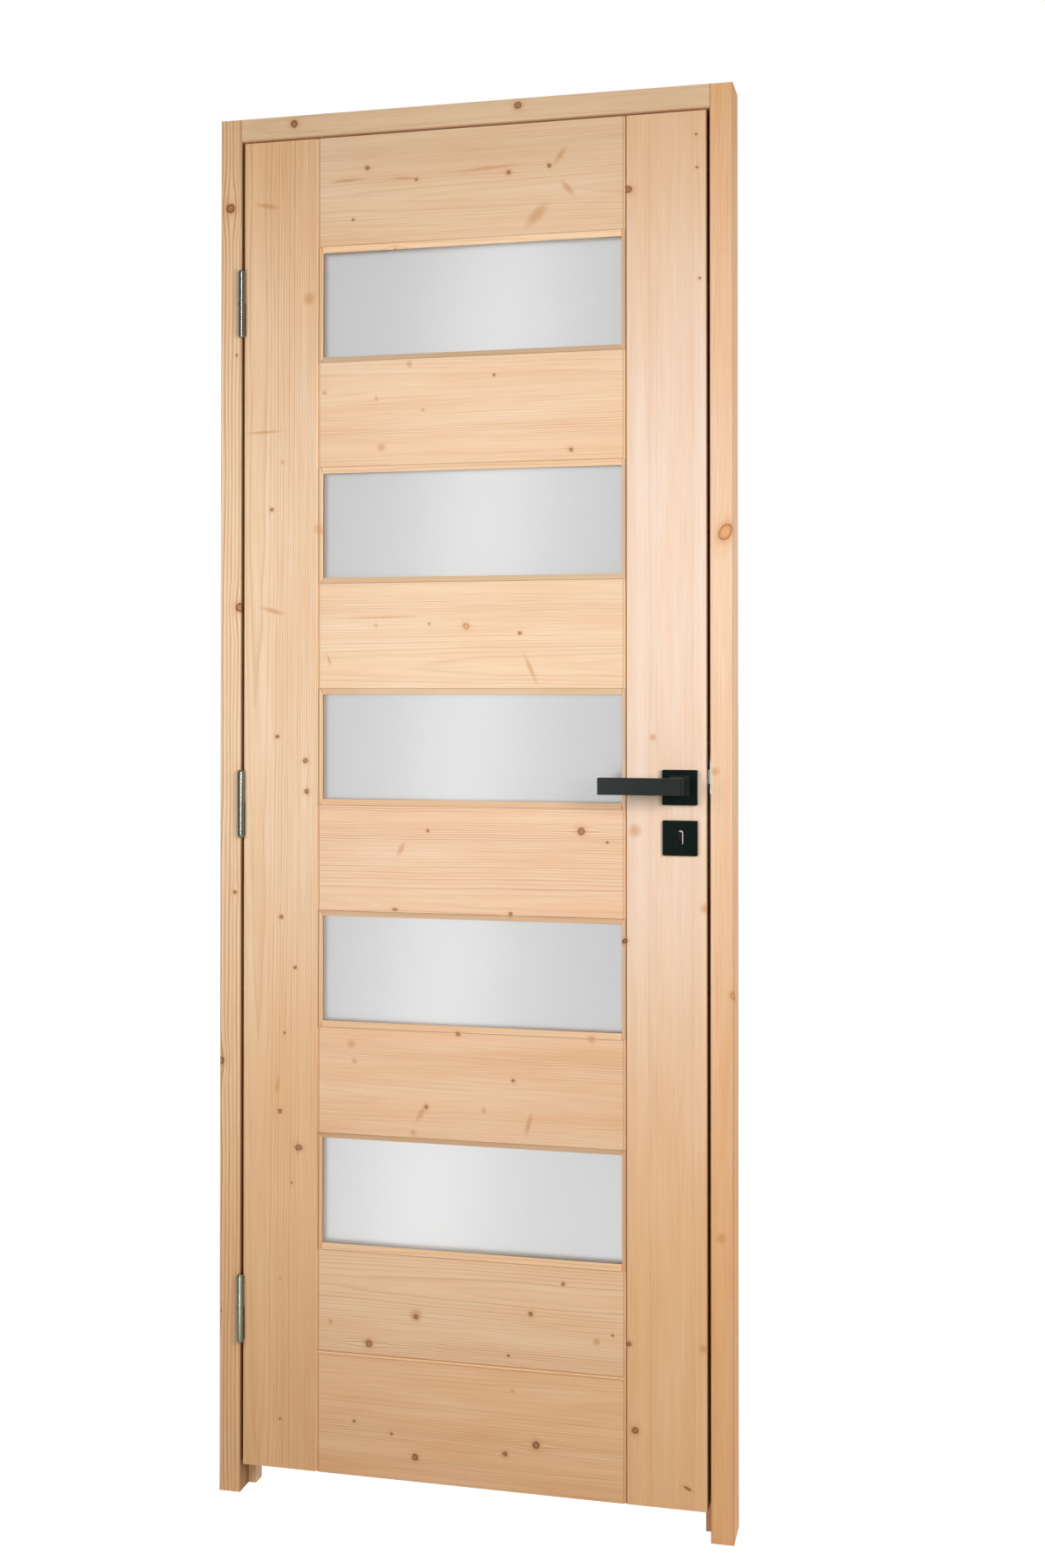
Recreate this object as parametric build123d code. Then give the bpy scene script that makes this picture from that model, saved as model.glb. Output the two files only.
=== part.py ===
from build123d import *
import os

# Prehung interior door: a stile-and-rail spruce leaf with five satin glass panes,
# hung on three lift-off hinges in a rebated frame, with a lever handle and a mortise lock.
#
# Millimetres. X runs from the hinge jamb to the lock jamb, Y away from the side that the
# leaf opens to, Z up. The origin is on the outer face of the hinge jamb, at its foot and
# at the middle of its depth.

# Frame
FRAME_DEPTH = 60
JAMB_LIP = 33
HEAD_LIP = 33
STOP_STEP = 12
REBATE_DEPTH = 36
FRAME_ARRIS = 1.5

# Running gaps round the leaf
HINGE_GAP = 4.5
LOCK_GAP = 4.5
TOP_GAP = 4
FOOT_GAP = 43

# Leaf and its boards
LEAF_WIDTH = 700
LEAF_HEIGHT = 1985
LEAF_THICK = 35
LEAF_ARRIS = 2
STILE_FACE = 114.5
TOP_RAIL = 162
MIDDLE_RAIL = 156
PANE_COUNT = 5
LOWER_RAIL = 151
BOTTOM_RAIL = 178

# Moulded edge of stiles and rails: a bevel, a small quirk and the rebate behind it
BEVEL_WIDTH = 9
BEVEL_DEPTH = 6.5
QUIRK = 1
REBATE_WIDTH = 10
VEE_WIDTH = 3
VEE_DEPTH = VEE_WIDTH * BEVEL_DEPTH / BEVEL_WIDTH
BACK_CHAMFER = 2.5

# Stub tenons of the rails, and the tongue between the two lowest boards
TENON_THICK = 12
TENON_LENGTH = 28
TENON_SHOULDER = 22
TONGUE_THICK = 9
TONGUE_HEIGHT = 8

# Glazing
GLASS_THICK = 6
GLASS_EDGE_GAP = 1.5
BEAD_BEVEL = 6

# Lift-off hinges
HINGE_FROM_TOP = 243
HINGE_FROM_BOTTOM = 234
MIDDLE_HINGE_RISE = 1.5
KNUCKLE_RADIUS = 5
KNUCKLE_LENGTH = 96
KNUCKLE_STANDOFF = 0.5
HINGE_PLATE_THICK = 2.5
HINGE_PLATE_WIDTH = 26
HINGE_PLATE_CORNER = 4
PIN_RADIUS = 3
PIN_LENGTH = 76
RING_RADIUS = 5.6
RING_THICK = 2.4
TIP_LENGTH = 3
TIP_TAPER = 1.8
RUNNING_GAP = 0.05
AXIAL_GAP = 0.2

# Mortise lock
SPINDLE_HEIGHT = 1065
BACKSET = 38
KEY_DROP = 72
LATCH_RISE = 15
FACEPLATE_WIDTH = 20
FACEPLATE_HEIGHT = 235
FACEPLATE_THICK = 3
CASE_THICK = 15
CASE_HEIGHT = 165
CASE_DEPTH = 58
LATCH_THICK = 12
LATCH_HEIGHT = 20
LATCH_PROUD = 3
LATCH_FLAT = 3
BOLT_THICK = 9
BOLT_HEIGHT = 32
LOCK_HOLE_GAP = 0.5
KEYHOLE_WIDTH = 6.5
KEYHOLE_HEIGHT = 20
STILE_HOLE_MARGIN = 1.5

# Strike plate in the lock jamb
STRIKE_THICK = 2
STRIKE_HEIGHT = 175
STRIKE_BACK_MARGIN = 8
STRIKE_LIP_HEIGHT = 49
STRIKE_LIP_PROUD = 1.2
STRIKE_HOLE_GAP = 3
STRIKE_MORTISE = 16

# Lever handle, roses and key escutcheons
PLATE_SIZE = 50
PLATE_CORNER = 1.5
ROSE_THICK = 8
ESCUTCHEON_THICK = 4.5
PLATE_BEVEL = 0.8
SPINDLE_SIDE = 8
SPINDLE_SOCKET = 28
SPINDLE_HOLE_GAP = 1
SHANK_RADIUS = 10
SHANK_SEAT = 6
LEVER_PROJECTION = 55
LEVER_REACH = 110
LEVER_HEIGHT = 24
LEVER_THICK = 11
LEVER_RISE = 3
LEVER_EDGE = 0.8
NECK_WIDTH = 20
NECK_CHAMFER = 4.5
NECK_GROOVE_WIDTH = 1.4
NECK_GROOVE_DEPTH = 1.2
FOOT_WIDTH = 29
FOOT_HEIGHT = 28
FOOT_THICK = 2.5

# Places worked out from the sizes above
FRONT = -FRAME_DEPTH / 2
BACK = FRAME_DEPTH / 2
STOP_FACE = FRONT + REBATE_DEPTH
LEAF_BACK = FRONT + LEAF_THICK
LEAF_MIDDLE = FRONT + LEAF_THICK / 2
LEAF_LEFT = JAMB_LIP + HINGE_GAP
LEAF_RIGHT = LEAF_LEFT + LEAF_WIDTH
LEAF_CENTRE = (LEAF_LEFT + LEAF_RIGHT) / 2
LOCK_FACE = LEAF_RIGHT + LOCK_GAP
FRAME_RIGHT = LOCK_FACE + JAMB_LIP
LEAF_BOTTOM = FOOT_GAP
LEAF_TOP = LEAF_BOTTOM + LEAF_HEIGHT
HEAD_SOFFIT = LEAF_TOP + TOP_GAP
FRAME_TOP = HEAD_SOFFIT + HEAD_LIP

SIGHT_INSET = STILE_FACE + BEVEL_WIDTH
SHOULDER_INSET = SIGHT_INSET - REBATE_WIDTH
GLASS_FRONT = FRONT + BEVEL_DEPTH + QUIRK
GLASS_BACK = GLASS_FRONT + GLASS_THICK
SHOULDER_LEFT = LEAF_LEFT + SHOULDER_INSET
SHOULDER_RIGHT = LEAF_RIGHT - SHOULDER_INSET
SIGHT_LEFT = LEAF_LEFT + SIGHT_INSET
SIGHT_RIGHT = LEAF_RIGHT - SIGHT_INSET
VEE_LEFT = LEAF_LEFT + STILE_FACE + VEE_WIDTH
VEE_RIGHT = LEAF_RIGHT - STILE_FACE - VEE_WIDTH

PIVOT_X = JAMB_LIP + HINGE_GAP / 2
PIVOT_Y = FRONT - KNUCKLE_RADIUS - KNUCKLE_STANDOFF
LOWEST_HINGE = LEAF_BOTTOM + HINGE_FROM_BOTTOM
HIGHEST_HINGE = LEAF_TOP - HINGE_FROM_TOP
MIDDLE_HINGE = (LOWEST_HINGE + HIGHEST_HINGE) / 2 + MIDDLE_HINGE_RISE
HINGES = {"bottom": LOWEST_HINGE, "middle": MIDDLE_HINGE, "top": HIGHEST_HINGE}

SPINDLE_X = LEAF_RIGHT - BACKSET
KEYHOLE_Z = SPINDLE_HEIGHT - KEY_DROP
LATCH_Z = SPINDLE_HEIGHT + LATCH_RISE
LOCK_Z = (LATCH_Z + KEYHOLE_Z) / 2
CASE_FRONT = LEAF_RIGHT - FACEPLATE_THICK

# Pane slots from the top down, each as (lower face edge, upper face edge)
BOARD_HEIGHTS = TOP_RAIL + (PANE_COUNT - 1) * MIDDLE_RAIL + LOWER_RAIL + BOTTOM_RAIL
PANE_SLOT = (LEAF_HEIGHT - BOARD_HEIGHTS) / PANE_COUNT
PANE_SLOTS = []
slot_top = LEAF_TOP - TOP_RAIL
for pane in range(PANE_COUNT):
    PANE_SLOTS.append((slot_top - PANE_SLOT, slot_top))
    slot_top -= PANE_SLOT + MIDDLE_RAIL
LOWER_JOINT = LEAF_BOTTOM + BOTTOM_RAIL


def span_box(x_range, y_range, z_range):
    """A box between two places along each axis."""
    size = [high - low for low, high in (x_range, y_range, z_range)]
    middle = [(high + low) / 2 for low, high in (x_range, y_range, z_range)]
    return Pos(*middle) * Box(*size)


def upright(outline, bottom, top):
    """Extrude a plan outline of (x, y) points from bottom to top."""
    face = make_face(Polyline(*outline, close=True))
    return extrude(Pos(0, 0, bottom) * face, amount=top - bottom, dir=(0, 0, 1))


def lying(outline, left, right):
    """Extrude a side outline of (y, z) points from left to right."""
    face = make_face(Polyline(*outline, close=True))
    return extrude(Plane.YZ.offset(left) * face, amount=right - left, dir=(1, 0, 0))


def long_edges(solid, axis, places):
    """The edges along an axis that stand at the given places across it."""
    picked = []
    for edge in solid.edges().filter_by(axis):
        middle = edge.center()
        for place in places:
            if all(abs(a - b) < 0.01 for a, b in zip(across(middle, axis), place)):
                picked.append(edge)
    return picked


def across(point, axis):
    """The two coordinates of a point that lie across an axis."""
    if axis == Axis.Z:
        return (point.X, point.Y)
    return (point.Y, point.Z)


def cut(solid, tools):
    """Take every tool out of a solid."""
    for tool in tools:
        solid -= tool
    return solid


def to_lock_side(solid):
    """Mirror a solid from the hinge side of the leaf to its lock side."""
    return mirror(solid, about=Plane.YZ.offset(LEAF_CENTRE))


def to_back(solid):
    """Mirror a solid from the front of the leaf to its back."""
    return mirror(solid, about=Plane.XZ.offset(-LEAF_MIDDLE))


# Frame: two jambs and a head between them, each with a planted stop that forms the rebate

def jamb(outer, inner):
    """One upright board of the frame, with the arrises of its inner face eased."""
    left, right = sorted((outer, inner))
    solid = span_box((left, right), (FRONT, BACK), (0, FRAME_TOP))
    return fillet(long_edges(solid, Axis.Z, [(outer, FRONT), (inner, FRONT)]), FRAME_ARRIS)


def jamb_stop(inner, inward):
    """The upright stop lath on a jamb's inner face, from its foot to the head."""
    edge = inner + inward * STOP_STEP
    left, right = sorted((inner, edge))
    solid = span_box((left, right), (STOP_FACE, BACK), (0, HEAD_SOFFIT))
    return fillet(long_edges(solid, Axis.Z, [(edge, STOP_FACE), (edge, BACK)]), FRAME_ARRIS)


def head_jamb(jambs):
    """The head board, scribed between the jambs."""
    solid = span_box((JAMB_LIP, LOCK_FACE), (FRONT, BACK), (HEAD_SOFFIT, FRAME_TOP))
    return cut(fillet(long_edges(solid, Axis.X, [(FRONT, HEAD_SOFFIT)]), FRAME_ARRIS), jambs)


def head_stop(stops):
    """The stop lath under the head, scribed between the upright stops."""
    edge = HEAD_SOFFIT - STOP_STEP
    solid = span_box((JAMB_LIP, LOCK_FACE), (STOP_FACE, BACK), (edge, HEAD_SOFFIT))
    return cut(fillet(long_edges(solid, Axis.X, [(STOP_FACE, edge), (BACK, edge)]), FRAME_ARRIS), stops)


# Leaf: stiles, rails, panes and glazing beads

def stile():
    """The hinge stile: bevelled and rebated along its inner edge, bevelled behind."""
    arris = LEAF_LEFT + STILE_FACE
    outline = [
        (LEAF_LEFT, FRONT),
        (arris, FRONT),
        (SIGHT_LEFT, FRONT + BEVEL_DEPTH),
        (SIGHT_LEFT, GLASS_FRONT),
        (SHOULDER_LEFT, GLASS_FRONT),
        (SHOULDER_LEFT, LEAF_BACK - BACK_CHAMFER),
        (SHOULDER_LEFT - BACK_CHAMFER, LEAF_BACK),
        (LEAF_LEFT, LEAF_BACK),
    ]
    solid = upright(outline, LEAF_BOTTOM, LEAF_TOP)
    places = [(LEAF_LEFT, FRONT), (LEAF_LEFT, LEAF_BACK)]
    return fillet(long_edges(solid, Axis.Z, places), LEAF_ARRIS)


def tenon(bottom, top, left, right):
    """The stub tenon of a rail, or the mortise that it fills."""
    half = TENON_THICK / 2
    height = (bottom + TENON_SHOULDER, top - TENON_SHOULDER)
    return span_box((left, right), (LEAF_MIDDLE - half, LEAF_MIDDLE + half), height)


def rail_ends():
    """What is left of a board's face between the stiles, with its bevelled ends."""
    outline = [
        (VEE_LEFT, FRONT + VEE_DEPTH),
        (VEE_LEFT + VEE_WIDTH, FRONT),
        (VEE_RIGHT - VEE_WIDTH, FRONT),
        (VEE_RIGHT, FRONT + VEE_DEPTH),
        (VEE_RIGHT, GLASS_FRONT),
        (VEE_LEFT, GLASS_FRONT),
    ]
    return upright(outline, LEAF_BOTTOM, LEAF_TOP)


def rail_back():
    """What is left of a board's back between the stiles' shoulders."""
    outline = [
        (SHOULDER_LEFT, GLASS_FRONT),
        (SHOULDER_RIGHT, GLASS_FRONT),
        (SHOULDER_RIGHT, LEAF_BACK - BACK_CHAMFER),
        (SHOULDER_RIGHT - BACK_CHAMFER, LEAF_BACK),
        (SHOULDER_LEFT + BACK_CHAMFER, LEAF_BACK),
        (SHOULDER_LEFT, LEAF_BACK - BACK_CHAMFER),
    ]
    return upright(outline, LEAF_BOTTOM, LEAF_TOP)


def glazed_edge(arris, up):
    """Side outline of a moulded edge, from the face round to the back."""
    sight = arris + up * BEVEL_WIDTH
    shoulder = sight - up * REBATE_WIDTH
    return [
        (FRONT, arris),
        (FRONT + BEVEL_DEPTH, sight),
        (GLASS_FRONT, sight),
        (GLASS_FRONT, shoulder),
        (LEAF_BACK - BACK_CHAMFER, shoulder),
        (LEAF_BACK, shoulder - up * BACK_CHAMFER),
    ]


def vee_edge(joint, up):
    """Side outline of an edge that meets the next board in a V-groove."""
    return [
        (FRONT, joint - up * VEE_WIDTH),
        (FRONT + VEE_DEPTH, joint),
        (LEAF_BACK - BACK_CHAMFER, joint),
        (LEAF_BACK, joint - up * BACK_CHAMFER),
    ]


def plain_edge(edge):
    """Side outline of an outer edge of the leaf."""
    return [(FRONT, edge), (LEAF_BACK, edge)]


def rail(lower, upper, bottom, top, stiles):
    """A board between the stiles: its moulded edges stop square at the sight lines."""
    outline = lower + upper[::-1]
    board = lying(outline, SHOULDER_LEFT, SHOULDER_RIGHT)
    face_band = span_box((LEAF_LEFT, LEAF_RIGHT), (FRONT, GLASS_FRONT), (bottom, top))
    between_sights = span_box((SIGHT_LEFT, SIGHT_RIGHT), (FRONT, GLASS_FRONT), (LEAF_BOTTOM, LEAF_TOP))
    solid = board & rail_back()
    solid += board & between_sights
    solid += board & rail_ends() & face_band
    solid += tenon(bottom, top, SHOULDER_LEFT - TENON_LENGTH, SHOULDER_RIGHT + TENON_LENGTH)
    return cut(solid, stiles)


def tongue(gap):
    """The tongue of the bottom rail, or with a gap the groove that it fills."""
    half = TONGUE_THICK / 2
    height = (LOWER_JOINT, LOWER_JOINT + TONGUE_HEIGHT + gap)
    return span_box((SHOULDER_LEFT, SHOULDER_RIGHT), (LEAF_MIDDLE - half, LEAF_MIDDLE + half), height)


def rebate(bottom, top):
    """Where the rebate behind one slot starts and ends."""
    return bottom + BEVEL_WIDTH - REBATE_WIDTH, top - BEVEL_WIDTH + REBATE_WIDTH


def glass_pane(bottom, top):
    """A pane in the rebate behind one slot, with a packing gap round its edge."""
    low, high = rebate(bottom, top)
    width = (SHOULDER_LEFT + GLASS_EDGE_GAP, SHOULDER_RIGHT - GLASS_EDGE_GAP)
    return span_box(width, (GLASS_FRONT, GLASS_BACK), (low + GLASS_EDGE_GAP, high - GLASS_EDGE_GAP))


def glazing_bead(bottom, top):
    """Four mitred beads that hold a pane from behind, joined as one frame."""
    depth = (GLASS_BACK, LEAF_BACK)
    solid = span_box((SHOULDER_LEFT, SHOULDER_RIGHT), depth, rebate(bottom, top))
    solid -= span_box((SIGHT_LEFT, SIGHT_RIGHT), depth, (bottom + BEVEL_WIDTH, top - BEVEL_WIDTH))
    rim = solid.faces().sort_by(Axis.Y)[-1]
    solid = chamfer(rim.inner_wires()[0].edges(), BEAD_BEVEL)
    rim = solid.faces().sort_by(Axis.Y)[-1]
    return chamfer(rim.outer_wire().edges(), BACK_CHAMFER)


# Hinges: each half is a plate let into the wood and a knuckle, and the frame's half has the pin

def hinge_plate(face, inward, height):
    """The flat of a hinge half: let in flush with the wood, and run out to the knuckle."""
    far = face + inward * HINGE_PLATE_THICK
    reach = (PIVOT_Y, FRONT + HINGE_PLATE_WIDTH)
    half = KNUCKLE_LENGTH / 2
    plate = span_box((min(face, far), max(face, far)), reach, (height - half, height + half))
    ends = [edge for edge in plate.edges().filter_by(Axis.X) if edge.center().Y > FRONT]
    return fillet(ends, HINGE_PLATE_CORNER)


def knuckle(low, high):
    """A plain stretch of knuckle."""
    return Pos(PIVOT_X, PIVOT_Y, (low + high) / 2) * Cylinder(KNUCKLE_RADIUS, high - low)


def tip(height, up):
    """The small tapered end of a knuckle."""
    turn = 0 if up > 0 else 180
    cone = Cone(KNUCKLE_RADIUS, KNUCKLE_RADIUS - TIP_TAPER, TIP_LENGTH)
    return Pos(PIVOT_X, PIVOT_Y, height + up * TIP_LENGTH / 2) * Rot(turn, 0, 0) * cone


def pin_hole(height, gap):
    """The bore for the hinge pin."""
    return Pos(PIVOT_X, PIVOT_Y, height) * Cylinder(PIN_RADIUS + gap, PIN_LENGTH + 2 * gap)


def hinge_frame_half(height):
    """The lower knuckle and the plate in the hinge jamb."""
    half = KNUCKLE_LENGTH / 2
    top = height - RING_THICK / 2
    plate = hinge_plate(JAMB_LIP, -1, height)
    clear = span_box((0, LEAF_RIGHT), (FRONT - PLATE_SIZE, FRONT), (top, height + half))
    return plate - clear + knuckle(height - half, top) + tip(height - half, -1) - pin_hole(height, 0)


def hinge_leaf_half(height):
    """The upper knuckle and the plate in the hinge stile."""
    half = KNUCKLE_LENGTH / 2
    bottom = height + RING_THICK / 2 + AXIAL_GAP
    plate = hinge_plate(LEAF_LEFT, 1, height)
    clear = span_box((0, LEAF_RIGHT), (FRONT - PLATE_SIZE, FRONT), (height - half, bottom))
    barrel = knuckle(bottom, height + half) + tip(height + half, 1)
    return plate - clear + barrel - pin_hole(height, RUNNING_GAP)


def hinge_pin(height):
    """The pin that stands in the frame's knuckle, with its bearing ring."""
    pin = Pos(PIVOT_X, PIVOT_Y, height) * Cylinder(PIN_RADIUS, PIN_LENGTH)
    return pin + Pos(PIVOT_X, PIVOT_Y, height) * Cylinder(RING_RADIUS, RING_THICK)


def hinge_plate_recess(face, inward, height):
    """The shallow mortise for a hinge plate."""
    wood = span_box((0, LEAF_RIGHT), (FRONT, BACK), (0, FRAME_TOP))
    return hinge_plate(face, inward, height) & wood


# Lock

def round_ended(width, height, depth):
    """A flat bar on YZ with round ends, standing out along X."""
    return extrude(Plane.YZ * SlotOverall(height, width, rotation=90), amount=depth, dir=(1, 0, 0))


def keyhole(margin, near, far):
    """An arch-topped keyhole through everything between near and far."""
    radius = KEYHOLE_WIDTH / 2 + margin
    top = KEYHOLE_Z + KEYHOLE_HEIGHT / 2 + margin - radius
    bottom = KEYHOLE_Z - KEYHOLE_HEIGHT / 2 - margin
    slot = span_box((SPINDLE_X - radius, SPINDLE_X + radius), (near, far), (bottom, top))
    arch = Pos(SPINDLE_X, (near + far) / 2, top) * Rot(90, 0, 0) * Cylinder(radius, far - near)
    return slot + arch


def cross_hole(radius, near, far):
    """A round hole on the spindle's axis."""
    return Pos(SPINDLE_X, (near + far) / 2, SPINDLE_HEIGHT) * Rot(90, 0, 0) * Cylinder(radius, far - near)


def spindle_clearance():
    """Radius of a round hole that the square spindle turns in."""
    return SPINDLE_SIDE / 2 ** 0.5 + SPINDLE_HOLE_GAP


def lock_case():
    """The steel case in the lock stile, with the holes for spindle and key."""
    half = CASE_THICK / 2
    height = (LOCK_Z - CASE_HEIGHT / 2, LOCK_Z + CASE_HEIGHT / 2)
    thick = (LEAF_MIDDLE - half, LEAF_MIDDLE + half)
    solid = span_box((CASE_FRONT - CASE_DEPTH, CASE_FRONT), thick, height)
    return solid - cross_hole(spindle_clearance(), *thick) - keyhole(0, *thick)


def lock_case_pocket():
    """The mortise for the lock case, a little deeper than the case."""
    half = CASE_THICK / 2 + LOCK_HOLE_GAP
    height = (LOCK_Z - CASE_HEIGHT / 2 - LOCK_HOLE_GAP, LOCK_Z + CASE_HEIGHT / 2 + LOCK_HOLE_GAP)
    depth = (CASE_FRONT - CASE_DEPTH - LOCK_HOLE_GAP, CASE_FRONT)
    return span_box(depth, (LEAF_MIDDLE - half, LEAF_MIDDLE + half), height)


def latch_body(gap, right):
    """The latch where it passes through the faceplate."""
    half = LATCH_THICK / 2 + gap
    tall = LATCH_HEIGHT / 2 + gap
    across = (LEAF_MIDDLE - half, LEAF_MIDDLE + half)
    return span_box((CASE_FRONT, right), across, (LATCH_Z - tall, LATCH_Z + tall))


def latch_nose():
    """The latch, drawn back so that only its sloped nose stands out."""
    half = LATCH_THICK / 2
    outline = [
        (LEAF_RIGHT, LEAF_MIDDLE - half),
        (LEAF_RIGHT + LATCH_PROUD, LEAF_MIDDLE - half),
        (LEAF_RIGHT + LATCH_PROUD, LEAF_MIDDLE - half + LATCH_FLAT),
        (LEAF_RIGHT, LEAF_MIDDLE + half),
    ]
    tall = LATCH_HEIGHT / 2
    return latch_body(0, LEAF_RIGHT) + upright(outline, LATCH_Z - tall, LATCH_Z + tall)


def dead_bolt(gap):
    """The bolt, drawn back flush with the faceplate."""
    half = BOLT_THICK / 2 + gap
    tall = BOLT_HEIGHT / 2 + gap
    thick = (LEAF_MIDDLE - half, LEAF_MIDDLE + half)
    return span_box((CASE_FRONT, LEAF_RIGHT), thick, (KEYHOLE_Z - tall, KEYHOLE_Z + tall))


def faceplate_blank():
    """The faceplate's outline at its place in the edge of the leaf."""
    blank = round_ended(FACEPLATE_WIDTH, FACEPLATE_HEIGHT, FACEPLATE_THICK)
    return Pos(CASE_FRONT, LEAF_MIDDLE, LOCK_Z) * blank


def lock_faceplate():
    """The faceplate, with holes for latch and bolt."""
    return faceplate_blank() - latch_body(LOCK_HOLE_GAP, LEAF_RIGHT) - dead_bolt(LOCK_HOLE_GAP)


def strike_blank():
    """The strike plate before its holes are cut, with the lip at the front arris."""
    back = STOP_FACE - STRIKE_BACK_MARGIN
    front = FRONT + FRAME_ARRIS
    tall = (LOCK_Z - STRIKE_HEIGHT / 2, LOCK_Z + STRIKE_HEIGHT / 2)
    lip = (LATCH_Z - STRIKE_LIP_HEIGHT / 2, LATCH_Z + STRIKE_LIP_HEIGHT / 2)
    width = (LOCK_FACE, LOCK_FACE + STRIKE_THICK)
    flat = span_box(width, (front + STRIKE_BACK_MARGIN / 2, back), tall)
    return flat + span_box(width, (FRONT - STRIKE_LIP_PROUD, back), lip)


def strike_hole(half_thick, half_tall, height, depth):
    """A hole in the strike plate, or with more depth the mortise behind it."""
    thick = (LEAF_MIDDLE - half_thick, LEAF_MIDDLE + half_thick)
    return span_box((LOCK_FACE, LOCK_FACE + depth), thick, (height - half_tall, height + half_tall))


def strike_holes(depth):
    """The holes for latch and bolt, one above the other."""
    latch = (LATCH_THICK / 2 + STRIKE_HOLE_GAP, LATCH_HEIGHT / 2 + STRIKE_HOLE_GAP)
    bolt = (BOLT_THICK / 2 + STRIKE_HOLE_GAP, BOLT_HEIGHT / 2 + STRIKE_HOLE_GAP)
    return strike_hole(*latch, LATCH_Z, depth) + strike_hole(*bolt, KEYHOLE_Z, depth)


# Lever handle

def plate(height, thick):
    """A square plate on the front of the leaf, its outer rim bevelled."""
    place = (SPINDLE_X - PLATE_SIZE / 2, SPINDLE_X + PLATE_SIZE / 2)
    tall = (height - PLATE_SIZE / 2, height + PLATE_SIZE / 2)
    solid = span_box(place, (FRONT - thick, FRONT), tall)
    solid = fillet(solid.edges().filter_by(Axis.Y), PLATE_CORNER)
    return chamfer(solid.faces().sort_by(Axis.Y)[0].edges(), PLATE_BEVEL)


def rose():
    """The lever's rose, bored for the lever's shank."""
    bore = cross_hole(SHANK_RADIUS + RUNNING_GAP, FRONT - ROSE_THICK, FRONT)
    return plate(SPINDLE_HEIGHT, ROSE_THICK) - bore


def key_escutcheon():
    """The square key escutcheon, with its keyhole."""
    return plate(KEYHOLE_Z, ESCUTCHEON_THICK) - keyhole(0, FRONT - ESCUTCHEON_THICK, FRONT)


def lever_block(width, height, near, far):
    """A block of the lever, centred on its neck."""
    middle = SPINDLE_HEIGHT + LEVER_RISE
    place = (SPINDLE_X - width / 2, SPINDLE_X + width / 2)
    return span_box(place, (near, far), (middle - height / 2, middle + height / 2))


def lever_bar(outer, inner):
    """The flat bar that the hand holds, with a bevelled corner over the neck."""
    middle = SPINDLE_HEIGHT + LEVER_RISE
    left = SPINDLE_X - LEVER_REACH
    right = SPINDLE_X + NECK_WIDTH / 2
    outline = [
        (left, outer), (right - NECK_CHAMFER, outer), (right, outer + NECK_CHAMFER),
        (right, inner), (left, inner),
    ]
    solid = upright(outline, middle - LEVER_HEIGHT / 2, middle + LEVER_HEIGHT / 2)
    return chamfer(solid.edges().filter_by(Axis.X), LEVER_EDGE)


def lever():
    """The bar on its neck, a square foot over the rose, and the shank that turns in it."""
    outer = FRONT - LEVER_PROJECTION
    inner = outer + LEVER_THICK
    root = FRONT - ROSE_THICK - AXIAL_GAP
    grooved = inner + NECK_GROOVE_WIDTH
    slim = 2 * NECK_GROOVE_DEPTH
    solid = lever_bar(outer, inner)
    solid += lever_block(NECK_WIDTH - slim, LEVER_HEIGHT - slim, inner, grooved)
    solid += lever_block(NECK_WIDTH, LEVER_HEIGHT, grooved, root)
    solid += lever_block(FOOT_WIDTH, FOOT_HEIGHT, root - FOOT_THICK, root)
    solid += cross_hole(SHANK_RADIUS, root, FRONT - ROSE_THICK + SHANK_SEAT)
    return solid - spindle()


def spindle():
    """The square bar that joins the two levers through the lock."""
    half = SPINDLE_SIDE / 2
    across_side = (SPINDLE_X - half, SPINDLE_X + half)
    length = (FRONT - SPINDLE_SOCKET, LEAF_BACK + SPINDLE_SOCKET)
    return span_box(across_side, length, (SPINDLE_HEIGHT - half, SPINDLE_HEIGHT + half))


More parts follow.
